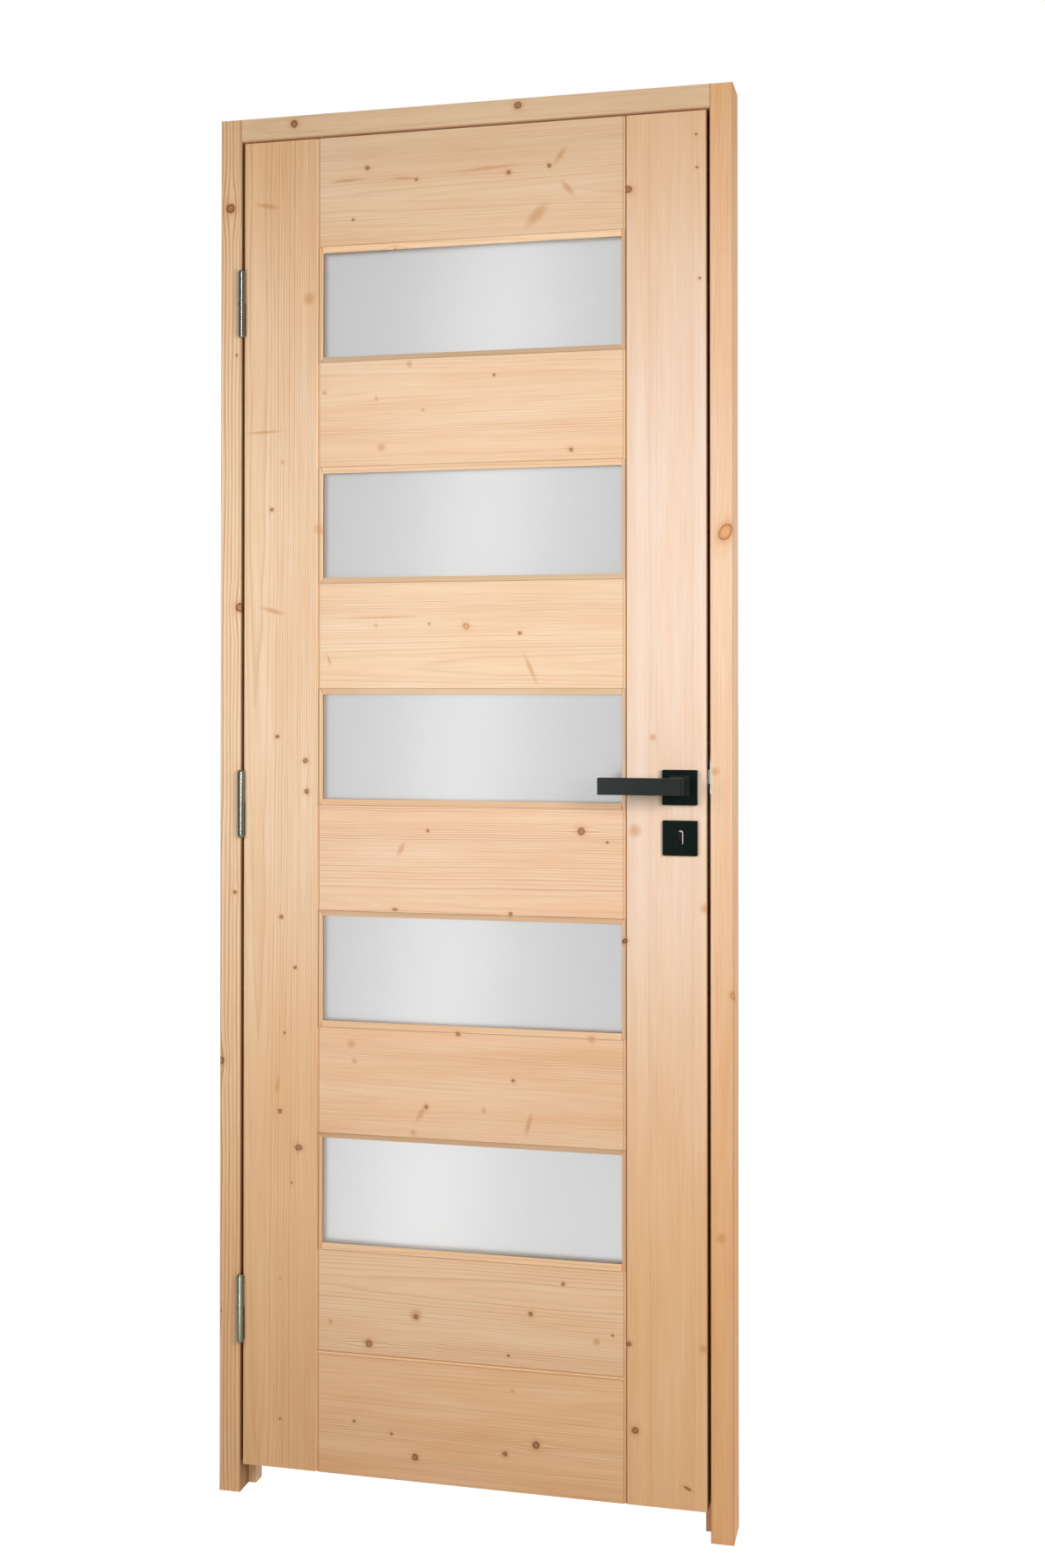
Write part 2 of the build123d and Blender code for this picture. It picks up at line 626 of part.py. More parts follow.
def build():
    """Every piece of the door, by name."""
    pieces = {}
    jamb_recesses = [hinge_plate_recess(JAMB_LIP, -1, height) for height in HINGES.values()]
    stile_recesses = [hinge_plate_recess(LEAF_LEFT, 1, height) for height in HINGES.values()]
    jamb_wood = span_box((LOCK_FACE, FRAME_RIGHT), (FRONT - STRIKE_LIP_PROUD, BACK), (0, FRAME_TOP))
    strike_seat = [strike_blank() & jamb_wood, strike_holes(STRIKE_MORTISE)]

    hinge_jamb = jamb(0, JAMB_LIP)
    lock_jamb = jamb(FRAME_RIGHT, LOCK_FACE)
    hinge_stop = jamb_stop(JAMB_LIP, 1)
    lock_stop = jamb_stop(LOCK_FACE, -1)
    pieces["head_jamb"] = head_jamb([hinge_jamb, lock_jamb])
    pieces["head_stop"] = head_stop([hinge_stop, lock_stop])
    pieces["hinge_stop"] = hinge_stop
    pieces["lock_stop"] = lock_stop
    pieces["hinge_jamb"] = cut(hinge_jamb, jamb_recesses)
    pieces["lock_jamb"] = cut(lock_jamb, strike_seat)
    pieces["strike_plate"] = strike_blank() - strike_holes(STRIKE_THICK)

    boards = [("top_rail", PANE_SLOTS[0][1], LEAF_TOP)]
    for index in range(1, PANE_COUNT):
        boards.append((f"middle_rail_{index}", PANE_SLOTS[index][1], PANE_SLOTS[index - 1][0]))
    boards.append(("lower_rail", LOWER_JOINT, PANE_SLOTS[-1][0]))
    boards.append(("bottom_rail", LEAF_BOTTOM, LOWER_JOINT))

    mortises = []
    for name, bottom, top in boards:
        mortises.append(tenon(bottom, top, SHOULDER_LEFT - TENON_LENGTH, SHOULDER_LEFT))
    hinge_stile = cut(stile(), mortises)
    lock_stile = to_lock_side(hinge_stile)

    lock_tools = [
        lock_case_pocket(),
        faceplate_blank(),
        keyhole(STILE_HOLE_MARGIN, FRONT, LEAF_BACK),
        cross_hole(SHANK_RADIUS, FRONT, LEAF_BACK),
    ]
    for name, bottom, top in boards:
        lower = glazed_edge(bottom, -1)
        upper = glazed_edge(top, 1)
        if name == "top_rail":
            upper = plain_edge(top)
        if name == "lower_rail":
            lower = vee_edge(bottom, -1)
        if name == "bottom_rail":
            lower = plain_edge(bottom)
            upper = vee_edge(top, 1)
        pieces[name] = rail(lower, upper, bottom, top, [hinge_stile, lock_stile])
    pieces["lower_rail"] -= tongue(0)
    pieces["bottom_rail"] += tongue(0)
    pieces["hinge_stile"] = cut(hinge_stile, stile_recesses)
    pieces["lock_stile"] = cut(lock_stile, lock_tools)

    for index, (bottom, top) in enumerate(PANE_SLOTS, 1):
        pieces[f"glass_pane_{index}"] = glass_pane(bottom, top)
        pieces[f"glazing_bead_{index}"] = glazing_bead(bottom, top)

    for name, height in HINGES.items():
        pieces[f"{name}_hinge_frame_half"] = hinge_frame_half(height)
        pieces[f"{name}_hinge_leaf_half"] = hinge_leaf_half(height)
    pieces["hinge_pins"] = Compound(children=[hinge_pin(height) for height in HINGES.values()])

    pieces["lock_case"] = lock_case()
    pieces["lock_faceplate"] = lock_faceplate()
    pieces["latch"] = latch_nose()
    pieces["dead_bolt"] = dead_bolt(0)

    pieces["front_rose"] = rose()
    pieces["back_rose"] = to_back(rose())
    pieces["front_escutcheon"] = key_escutcheon()
    pieces["back_escutcheon"] = to_back(key_escutcheon())
    pieces["front_lever"] = lever()
    pieces["back_lever"] = to_back(lever())
    pieces["spindle"] = spindle()
    return pieces


os.makedirs("parts", exist_ok=True)
for name, solid in build().items():
    export_step(solid, f"parts/{name}.step")
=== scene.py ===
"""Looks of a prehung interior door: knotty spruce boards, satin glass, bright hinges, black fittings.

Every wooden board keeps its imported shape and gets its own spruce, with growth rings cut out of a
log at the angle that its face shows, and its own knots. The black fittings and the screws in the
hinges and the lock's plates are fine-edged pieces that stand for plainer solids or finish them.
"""

import logging
import math
from collections.abc import Callable, Mapping, Sequence
from dataclasses import dataclass, field, replace
from enum import Enum
from functools import partial

import bmesh
import bpy
from mathutils import Matrix, Vector

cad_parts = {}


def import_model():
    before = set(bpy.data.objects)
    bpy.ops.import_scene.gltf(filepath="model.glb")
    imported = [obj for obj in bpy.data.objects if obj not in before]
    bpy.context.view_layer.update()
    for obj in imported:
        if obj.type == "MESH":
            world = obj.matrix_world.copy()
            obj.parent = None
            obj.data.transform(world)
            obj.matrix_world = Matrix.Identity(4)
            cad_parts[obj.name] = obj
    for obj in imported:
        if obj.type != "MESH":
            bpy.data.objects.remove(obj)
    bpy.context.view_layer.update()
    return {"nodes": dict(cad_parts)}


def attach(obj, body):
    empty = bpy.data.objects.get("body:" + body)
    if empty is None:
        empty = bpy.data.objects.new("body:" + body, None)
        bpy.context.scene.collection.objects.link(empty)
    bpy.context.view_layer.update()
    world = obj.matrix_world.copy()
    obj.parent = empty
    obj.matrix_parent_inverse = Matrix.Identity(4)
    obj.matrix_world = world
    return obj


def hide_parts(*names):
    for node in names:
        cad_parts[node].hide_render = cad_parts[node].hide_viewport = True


LOG = logging.getLogger("door")
MM = 0.001
Colour = tuple[float, float, float, float]
Socket = bpy.types.NodeSocket
Node = bpy.types.Node
Adder = Callable[..., Node]


def linear(hex_colour: str) -> Colour:
    """Turns an sRGB colour into the linear one that shaders use.

    Args:
        hex_colour: Six hex digits after a hash sign.

    Returns:
        Red, green, blue and an alpha of 1.
    """
    parts = [int(hex_colour[start : start + 2], 16) / 255 for start in (1, 3, 5)]
    bright = [c / 12.92 if c <= 0.04045 else ((c + 0.055) / 1.055) ** 2.4 for c in parts]
    return (bright[0], bright[1], bright[2], 1.0)


def add_node(
    tree: bpy.types.NodeTree,
    kind: str,
    inputs: Mapping[int | str, object] | None = None,
    stops: Sequence[tuple[float, Colour]] = (),
    **settings: object,
) -> Node:
    """Adds a node, sets its options and values, and links what feeds it.

    Args:
        tree: The node tree that gets the node.
        kind: The type of node, by Blender's name for it after ShaderNode.
        inputs: A value, a socket or a node for each input in use, by its name or its place.
        stops: Positions and colours, for a colour ramp.
        settings: The node's own options, by name.

    Returns:
        The new node.
    """
    node = tree.nodes.new(f"ShaderNode{kind}")
    for option, value in settings.items():
        setattr(node, option, value)
    used = [socket for socket in node.inputs if socket.enabled]
    for key, value in (inputs or {}).items():
        target = used[key] if isinstance(key, int) else next(s for s in used if s.name == key)
        if isinstance(value, bpy.types.Node):
            value = next(socket for socket in value.outputs if socket.enabled)
        if isinstance(value, bpy.types.NodeSocket):
            tree.links.new(value, target)
        else:
            target.default_value = value
    for place, (position, colour) in enumerate(stops):
        ramp = node.color_ramp.elements
        stop = ramp[place] if place < 2 else ramp.new(position)
        stop.position = position
        stop.color = colour
    return node


def new_material(name: str) -> tuple[bpy.types.Material, Adder]:
    """Makes an empty material.

    Args:
        name: The name of what it is made of.

    Returns:
        The material, and add_node for its own tree.
    """
    material = bpy.data.materials.new(name)
    material.use_nodes = True
    material.node_tree.nodes.clear()
    return material, partial(add_node, material.node_tree)


def wear(piece: bpy.types.Object, material: bpy.types.Material) -> None:
    """Gives a piece one material all over."""
    piece.data.materials.clear()
    piece.data.materials.append(material)


class Grain(Enum):
    """Which way a board's grain runs."""

    UPRIGHT = "along Z"
    LEVEL = "along X"


class KnotKind(Enum):
    """How a knot shows on the face."""

    SOUND = "a brown core with a dark rim"
    RED = "a light orange core with a thin brown rim"
    FAINT = "a soft stain of a knot that lies just under the face"


# Marks of the wood, in millimetres across and along the grain. Real fibres are finer than a pixel,
# so they are drawn a millimetre wide.
FIBRES = (1.1, 90.0)
PATCHES = (30.0, 300.0)
SLOW_SWAY = (60.0, 420.0)
QUICK_SWAY = (14.0, 120.0)
FRAYS = (3.0, 5.0)
FRAY_REACH = 1.6

# A branch's rise for each millimetre of depth, measured from the front face.
BRANCH_SLANT = 0.4
FACE_DEPTH = 30.0

# Dark and pale years come in spells of about seven.
SPELLS_A_YEAR = 0.14

# A knot bends the grain as far out as this many of its radii, across and along the grain.
BENT_ACROSS = 3.6
BENT_ALONG = 11.0

# The height in the door where the painted shade toward a board's head and foot is least.
LEAST_END_SHADE_HEIGHT = 1300.0
# The warm, darker tint of the painted shade toward a board's head and foot.
END_SHADE_TINT = "#FFE6BE"
# Painted light that brightens the bevels, and the painted crease shade down them.
PAINTED_BEVEL_LIGHT = "#FBD3A2"
PAINTED_CREASE_SHADE = "#9C6836"
BRANCH_STAIN = "#CF8D52"

# How brown a growth ring is at each place from its first wood to its last.
RING_PROFILE = ((0.0, 0.3), (1.0, 0.3), (0.1, 0.0), (0.5, 0.06), (0.8, 0.5), (0.93, 1.0))

# How far a face gets the painted bevel light and crease shade, by how squarely it looks out of the board's
# face.
SLOPE_SHARE = ((0.0, 0.0), (1.0, 0.0), (0.3, 0.0), (0.5, 1.0), (0.92, 1.0), (0.98, 0.0))

# A knot's shades from its middle outwards: a quarter of the distance in radii, so that the rim lies
# at 0.25, then the shade, and how much of it covers the wood.
KNOT_SHADES = {
    KnotKind.SOUND: [
        (0.0, "#7A431D", 0.95),
        (1.0, "#E6B884", 0.0),
        (0.06, "#A5652F", 0.92),
        (0.12, "#C4814A", 0.9),
        (0.17, "#A05E28", 0.92),
        (0.22, "#5A2D10", 0.97),
        (0.27, "#84501F", 0.8),
        (0.33, "#CB8A4E", 0.45),
        (0.5, "#DDA46A", 0.28),
        (0.75, "#E3AE78", 0.1),
    ],
    KnotKind.RED: [
        (0.0, "#D9985C", 0.85),
        (1.0, "#E6B884", 0.0),
        (0.1, "#DFA067", 0.85),
        (0.19, "#CF8A4C", 0.88),
        (0.235, "#94551F", 0.92),
        (0.28, "#D2955A", 0.55),
        (0.5, "#E3AE78", 0.25),
        (0.8, "#E6B884", 0.08),
    ],
}


@dataclass(frozen=True)
class Knot:
    """A knot on a board's face, in millimetres from the hinge jamb's outer foot.

    A branch that was sawn along its length shows as a spike: it has a length beside its radius,
    and turns up from the level by an angle in degrees.
    """

    x: float
    z: float
    radius: float
    kind: KnotKind = KnotKind.SOUND
    length: float | None = None
    turn: float = 0.0


def faint(x: float, z: float, radius: float) -> Knot:
    """A knot that only stains the face."""
    return Knot(x, z, radius, KnotKind.FAINT)


def spike(x: float, z: float, radius: float, length: float, turn: float) -> Knot:
    """A soft streak where a branch lies along the face."""
    return Knot(x, z, radius, KnotKind.FAINT, length, turn)


@dataclass(frozen=True)
class Spruce:
    """Spruce, sawn, planed and sanded, under clear matt lacquering.

    Growth rings are cylinders round the log's pith. Where the face lies over the pith they show as
    wide soft arches, and to the sides as close brown lines. The eye gets a matt honey-pale face,
    thin late-wood lines and brown knots that the lines bend round.

    Lengths are in millimetres. The pith lies at a place across the board and behind its face, and
    climbs and wanders along it. A ring is one year's growth. Middle and half place the board in the
    door's depth. The line is the painted crease shade, a brown line down a bevel between two depths
    below the face, and the crease shade share is how much of it covers the bevel. Fade is how fast the
    rings pale where they lie flat. End shade is how much painted shade warms and darkens the wood
    toward its head and foot, and gap shade is the painted shade on the edge that shows in the gap.
    """

    name: str
    grain: Grain
    pith: tuple[float, float]
    ring: float = 2.6
    climb: float = 0.006
    wander: float = 1.6
    contrast: float = 0.8
    early: str = "#F4D5B5"
    warm: str = "#EFC89F"
    late: str = "#BD8450"
    knots: tuple[Knot, ...] = ()
    seed: float = 0.0
    end_shade: float = 0.0
    middle: float = -12.5
    half: float = 17.5
    bent_from: float = 2.2
    gap_shade: str | None = None
    line: tuple[float, float] = (0.0, 0.4)
    crease_shade_share: float = 0.7
    fade: float = 1.0

    def _noise(self, add: Adder, board: Node, marks: tuple[float, float], detail: float) -> Node:
        """A noise drawn out along the grain.

        Args:
            add: Adds a node to the board's material.
            board: The place in the board: across, into and along it, in millimetres.
            marks: The marks' size across and along the grain, in millimetres.
            detail: How many finer layers the noise has.

        Returns:
            The noise node.
        """
        across, along = marks
        scale = (1 / across, 1 / across, 1 / along)
        spot = add("VectorMath", {0: board, 1: scale}, operation="MULTIPLY")
        return add("TexNoise", {"Vector": spot, "Scale": 1.0, "Detail": detail})

    def _nearest_knot(self, add: Adder, spot: Node, kind: KnotKind) -> Socket | Node | None:
        """The distance to the nearest knot of a kind, in that knot's own size.

        Args:
            add: Adds a node to the board's material.
            spot: The place on the face, slanted with depth as branches are.
            kind: The kind of knot.

        Returns:
            The distance, or None where the board has no such knot.
        """
        nearest = None
        for knot in self.knots:
            if knot.kind is kind:
                away = add(
                    "Mapping",
                    {
                        "Vector": spot,
                        "Location": (knot.x, 0.0, knot.z),
                        "Rotation": (0.0, math.radians(-knot.turn), 0.0),
                        "Scale": (knot.length or knot.radius, 1.0, knot.radius),
                    },
                    vector_type="TEXTURE",
                )
                radii = add("VectorMath", {0: away}, operation="LENGTH").outputs["Value"]
                if nearest is None:
                    nearest = radii
                else:
                    nearest = add("Math", {0: nearest, 1: radii}, operation="MINIMUM")
        return nearest

    def _bent(self, add: Adder, spot: Node) -> Node:
        """The place that the rings are read at, which a knot pushes to its own middle.

        Args:
            add: Adds a node to the board's material.
            spot: The place on the face.

        Returns:
            The place after every larger knot has pushed the grain aside.
        """
        bent = spot
        for knot in self.knots:
            if knot.kind is not KnotKind.FAINT and knot.radius >= self.bent_from:
                short, long = 1 / (BENT_ACROSS * knot.radius), 1 / (BENT_ALONG * knot.radius)
                reach = (short, 0.0, long) if self.grain is Grain.UPRIGHT else (long, 0.0, short)
                middle = (knot.x, 0.0, knot.z)
                away = add("VectorMath", {0: spot, 1: middle}, operation="SUBTRACT")
                drawn = add("VectorMath", {0: away, 1: reach}, operation="MULTIPLY")
                length = add("VectorMath", {0: drawn}, operation="LENGTH")
                pull = add(
                    "MapRange",
                    {"Value": length, "To Min": 0.8, "To Max": 0.0},
                    interpolation_type="SMOOTHSTEP",
                )
                push = add("VectorMath", {0: away, "Scale": pull}, operation="SCALE")
                bent = add("VectorMath", {0: bent, 1: push}, operation="SUBTRACT")
        return bent

    def _late_wood(self, add: Adder, board: Node, flat: Node, depth: Socket) -> Node:
        """How much of the brown late wood of a growth ring shows at each place.

        Args:
            add: Adds a node to the board's material.
            board: The place in the board: across, into and along it, in millimetres.
            flat: The place on the face, slanted with depth.
            depth: The place's own depth, in millimetres.

        Returns:
            None of it at 0, and the darkest line at 1.
        """
        # The pith that the rings lie round wanders and climbs through the board.
        bent = add("SeparateXYZ", {0: self._bent(add, flat)}).outputs
        upright = self.grain is Grain.UPRIGHT
        crosswise, lengthwise = (bent["X"], bent["Z"]) if upright else (bent["Z"], bent["X"])
        slow = self._noise(add, board, SLOW_SWAY, 2.0)
        quick = self._noise(add, board, QUICK_SWAY, 2.0)
        sway = add("Math", {0: slow, 1: 5 * self.wander, 2: -2.5 * self.wander}, operation="MULTIPLY_ADD")
        sway = add("Math", {0: quick, 1: self.wander, 2: sway}, operation="MULTIPLY_ADD")
        side = add("Math", {0: crosswise, 1: self.pith[0]}, operation="SUBTRACT")
        rise = add("Math", {0: lengthwise, 1: self.climb, 2: -self.pith[1]}, operation="MULTIPLY_ADD")
        back = add("Math", {0: depth, 1: rise}, operation="ADD")
        radius = add("CombineXYZ", {0: side, 1: back})
        radius = add("VectorMath", {0: radius}, operation="LENGTH")
        swayed = add("Math", {0: radius, 1: sway}, operation="ADD")
        count = add("Math", {0: swayed, 1: self.ring}, operation="DIVIDE")
        within = add("Math", {0: count}, operation="FRACT")
        year = add("Math", {0: count}, operation="FLOOR")
        stops = [(place, (brown, brown, brown, 1.0)) for place, brown in RING_PROFILE]
        profile = add("ValToRGB", {0: within}, stops=stops)

        # Some years and some spells of years grew darker wood, and rings that lie flat look pale.
        luck = add("TexWhiteNoise", {"W": year}, noise_dimensions="1D").outputs["Value"]
        years = add("Math", {0: count, 1: SPELLS_A_YEAR}, operation="MULTIPLY")
        spell = add("TexNoise", {"W": years, "Scale": 1.0, "Detail": 1.0}, noise_dimensions="1D")
        spread = {"From Min": 0.3, "From Max": 0.7, "To Min": 0.3, "To Max": 1.3}
        spell = add("MapRange", {"Value": spell, **spread})
        steep = add("Math", {0: side, 1: radius}, operation="DIVIDE")
        steep = add("Math", {0: steep}, operation="ABSOLUTE")
        steep = add("Math", {0: steep, 1: self.fade}, operation="POWER")
        steep = add("Math", {0: steep, 1: 0.8, 2: 0.2}, operation="MULTIPLY_ADD")
        strength = add("Math", {0: luck, 1: 0.6, 2: 0.35}, operation="MULTIPLY_ADD")
        strength = add("Math", {0: strength, 1: spell}, operation="MULTIPLY")
        strength = add("Math", {0: strength, 1: steep}, operation="MULTIPLY")
        strength = add("Math", {0: strength, 1: self.contrast}, operation="MULTIPLY")
        return add("Math", {0: profile, 1: strength}, operation="MULTIPLY", use_clamp=True)

    def _coloured(self, add: Adder, board: Node, late: Node, fibres: Node, height: Socket) -> Node:
        """Clear wood: warmer and paler patches, brown lines, fine fibres, and painted shade toward head and
        foot.

        Args:
            add: Adds a node to the board's material.
            board: The place in the board: across, into and along it, in millimetres.
            late: How much late wood shows.
            fibres: The fine fibres.
            height: The place's height in the door, in millimetres.

        Returns:
            The colour.
        """
        patches = self._noise(add, board, PATCHES, 3.0)
        patches = add("MapRange", {"Value": patches, "From Min": 0.32, "From Max": 0.68})
        wood = add("Mix", {0: patches, 1: linear(self.early), 2: linear(self.warm)}, data_type="RGBA")
        wood = add("Mix", {0: late, 1: wood, 2: linear(self.late)}, data_type="RGBA")
        wood = add("Mix", {0: 0.3, 1: wood, 2: fibres}, data_type="RGBA", blend_type="OVERLAY")
        # Painted shade: the wood turns warmer and darker toward the head and foot of a long board.
        away = add("Math", {0: height, 1: LEAST_END_SHADE_HEIGHT}, operation="SUBTRACT")
        away = add("Math", {0: away}, operation="ABSOLUTE")
        end_shaded = add(
            "MapRange",
            {"Value": away, "From Min": 150.0, "From Max": 1000.0, "To Max": self.end_shade},
            interpolation_type="SMOOTHSTEP",
        )
        tint = linear(END_SHADE_TINT)
        return add("Mix", {0: end_shaded, 1: wood, 2: tint}, data_type="RGBA", blend_type="MULTIPLY")

    def _bevel_light_and_crease_shade(self, add: Adder, wood: Node, depth: Socket) -> Node:
        """Bevels and grooves: painted light makes the slopes brighter and more orange, with painted crease
        shade as a brown line down them.

        Args:
            add: Adds a node to the board's material.
            wood: The colour of the flat face.
            depth: The place's own depth, in millimetres.

        Returns:
            The colour.
        """
        facing = add("TexCoord").outputs["Normal"]
        facing = add("SeparateXYZ", {0: facing}).outputs["Y"]
        facing = add("Math", {0: facing}, operation="ABSOLUTE")
        stops = [(place, (share, share, share, 1.0)) for place, share in SLOPE_SHARE]
        sloped = add("ValToRGB", {0: facing}, stops=stops)
        off = add("Math", {0: depth, 1: self.middle}, operation="SUBTRACT")
        off = add("Math", {0: off}, operation="ABSOLUTE")
        below = add("Math", {0: self.half, 1: off}, operation="SUBTRACT")
        start, end = self.line
        line = [
            add("MapRange", {"Value": below, "From Min": outer, "From Max": inner})
            for outer, inner in ((start - 0.4, start), (end + 0.5, end))
        ]
        line = add("Math", {0: line[0], 1: line[1]}, operation="MULTIPLY")
        tone = add("Mix", {0: line, 1: linear(PAINTED_BEVEL_LIGHT), 2: linear(PAINTED_CREASE_SHADE)}, data_type="RGBA")
        share = add("MapRange", {"Value": line, "To Min": 0.32, "To Max": self.crease_shade_share})
        share = add("Math", {0: share, 1: sloped}, operation="MULTIPLY")
        return add("Mix", {0: share, 1: wood, 2: tone}, data_type="RGBA")

    def _painted_gap_shade(self, add: Adder, wood: Node) -> Node:
        """The edge that looks along X into the gap beside the next board, with painted gap shade: duller
        and browner.

        Args:
            add: Adds a node to the board's material.
            wood: The colour of the sanded wood.

        Returns:
            The colour.
        """
        facing = add("TexCoord").outputs["Normal"]
        facing = add("SeparateXYZ", {0: facing}).outputs["X"]
        share = add("MapRange", {"Value": facing, "From Min": 0.9, "From Max": 0.98, "To Max": 0.8})
        return add("Mix", {0: share, 1: wood, 2: linear(self.gap_shade)}, data_type="RGBA")

    def _knotted(self, add: Adder, wood: Node, spot: Node) -> Node:
        """Lays the knots over the wood.

        Args:
            add: Adds a node to the board's material.
            wood: The colour of the clear wood.
            spot: The place on the face, frayed at a knot's edge.

        Returns:
            The colour.
        """
        stain = self._nearest_knot(add, spot, KnotKind.FAINT)
        if stain is not None:
            shade = add(
                "MapRange",
                {"Value": stain, "From Min": 0.0, "From Max": 1.7, "To Min": 0.62, "To Max": 0.0},
                interpolation_type="SMOOTHERSTEP",
            )
            wood = add("Mix", {0: shade, 1: wood, 2: linear(BRANCH_STAIN)}, data_type="RGBA")
        for kind, shades in KNOT_SHADES.items():
            near = self._nearest_knot(add, spot, kind)
            if near is not None:
                reach = add("Math", {0: near, 1: 0.25}, operation="MULTIPLY")
                stops = [(place, (*linear(shade)[:3], share)) for place, shade, share in shades]
                core = add("ValToRGB", {0: reach}, stops=stops).outputs
                wood = add("Mix", {0: core["Alpha"], 1: wood, 2: core["Color"]}, data_type="RGBA")
        return wood

    def build(self) -> bpy.types.Material:
        """Makes the board's material.

        Returns:
            The material.
        """
        material, add = new_material(self.name)
        place = add("TexCoord").outputs["Object"]
        world = add("VectorMath", {0: place, "Scale": 1 / MM}, operation="SCALE")
        parts = add("SeparateXYZ", {0: world}).outputs
        depth = parts["Y"]
        upright = self.grain is Grain.UPRIGHT
        across, along = (parts["X"], parts["Z"]) if upright else (parts["Z"], parts["X"])
        shifted = add("Math", {0: along, 1: 1000.0 * self.seed}, operation="ADD")
        board = add("CombineXYZ", {0: across, 1: depth, 2: shifted})

        # The branch of a knot slants up through the thickness, so its ends differ front and back.
        face_rise = BRANCH_SLANT * FACE_DEPTH
        slant = add("Math", {0: depth, 1: BRANCH_SLANT, 2: face_rise}, operation="MULTIPLY_ADD")
        slanted = add("CombineXYZ", {0: slant, 2: slant})
        flat = add("VectorMath", {0: world, 1: (1, 0, 1), 2: slanted}, operation="MULTIPLY_ADD")
        ragged = self._noise(add, board, FRAYS, 2.0).outputs["Color"]
        fray = {1: (2 * FRAY_REACH, 0, 2 * FRAY_REACH), 2: (-FRAY_REACH, 0, -FRAY_REACH)}
        frayed = add("VectorMath", {0: ragged, **fray}, operation="MULTIPLY_ADD")
        spot = add("VectorMath", {0: flat, 1: frayed}, operation="ADD")

        late = self._late_wood(add, board, flat, depth)
        fibres = self._noise(add, board, FIBRES, 2.0)
        wood = self._coloured(add, board, late, fibres, parts["Z"])
        # The bevels get painted light and painted crease shade before the knots are laid on.
        wood = self._knotted(add, self._bevel_light_and_crease_shade(add, wood, depth), spot)
        # Painted gap shade on the edge that looks into the gap.
        if self.gap_shade:
            wood = self._painted_gap_shade(add, wood)

        # Late wood and fibres stand up a little after planing, and shine a little more.
        height = add("Math", {0: fibres, 1: 0.5, 2: late}, operation="MULTIPLY_ADD")
        bump = add("Bump", {"Strength": 0.25, "Distance": 0.12 * MM, "Height": height})
        matt = add("MapRange", {"Value": late, "To Min": 0.56, "To Max": 0.46})
        surface = add(
            "BsdfPrincipled",
            {"Base Color": wood, "Roughness": matt, "Specular IOR Level": 0.4, "Normal": bump},
        )
        add("OutputMaterial", {"Surface": surface})
        return material


@dataclass(frozen=True)
class SatinGlass:
    """Float glass, etched on the room side until it is evenly cloudy.

    The eye gets a soft neutral grey sheet that lets light through and no shapes, with one broad
    blurred gleam of a lamp across it.
    """

    name: str = "satin_etched_float_glass"
    body: str = "#D2D2D2"
    roughness: float = 0.36
    clear: float = 0.8
    etch_mm: float = 0.5

    def build(self) -> bpy.types.Material:
        """Makes the glass.

        Returns:
            The material.
        """
        material, add = new_material(self.name)
        place = add("TexCoord").outputs["Object"]
        # The etch is far finer than a pixel, so its grain is drawn at half a millimetre.
        etch = add("TexNoise", {"Vector": place, "Scale": 1 / (self.etch_mm * MM), "Detail": 1.0})
        bump = add("Bump", {"Strength": 0.05, "Distance": 0.02 * MM, "Height": etch})
        surface = add(
            "BsdfPrincipled",
            {
                "Base Color": linear(self.body),
                "Roughness": self.roughness,
                "IOR": 1.52,
                "Transmission Weight": self.clear,
                "Normal": bump,
            },
        )
        add("OutputMaterial", {"Surface": surface})
        return material


@dataclass(frozen=True)
class PlatedSteel:
    """Steel, rolled or drawn and zinc or nickel plated, with a fine run along the draw.

    The eye gets a cool metal with a narrow bright line of light and darker flanks.
    """

    name: str
    body: str = "#A9ACAD"
    roughness: float = 0.26
    draw_mm: float = 0.6
    draw_stretch: float = 60.0
    cloud_mm: float = 14.0

    def build(self) -> bpy.types.Material:
        """Makes the metal.

        Returns:
            The material.
        """
        material, add = new_material(self.name)
        place = add("TexCoord").outputs["Object"]
        fine = 1 / (self.draw_mm * MM)
        run = add("Mapping", {"Vector": place, "Scale": (fine, fine, fine / self.draw_stretch)})
        lines = add("TexNoise", {"Vector": run, "Scale": 1.0, "Detail": 2.0})
        cloud = add("TexNoise", {"Vector": place, "Scale": 1 / (self.cloud_mm * MM), "Detail": 2.0})
        reach = {"To Min": self.roughness - 0.04, "To Max": self.roughness + 0.08}
        patches = add("MapRange", {"Value": cloud, **reach})
        bump = add("Bump", {"Strength": 0.02, "Distance": 0.01 * MM, "Height": lines})
        surface = add(
            "BsdfPrincipled",
            {"Base Color": linear(self.body), "Metallic": 1.0, "Roughness": patches, "Normal": bump},
        )
        add("OutputMaterial", {"Surface": surface})
        return material


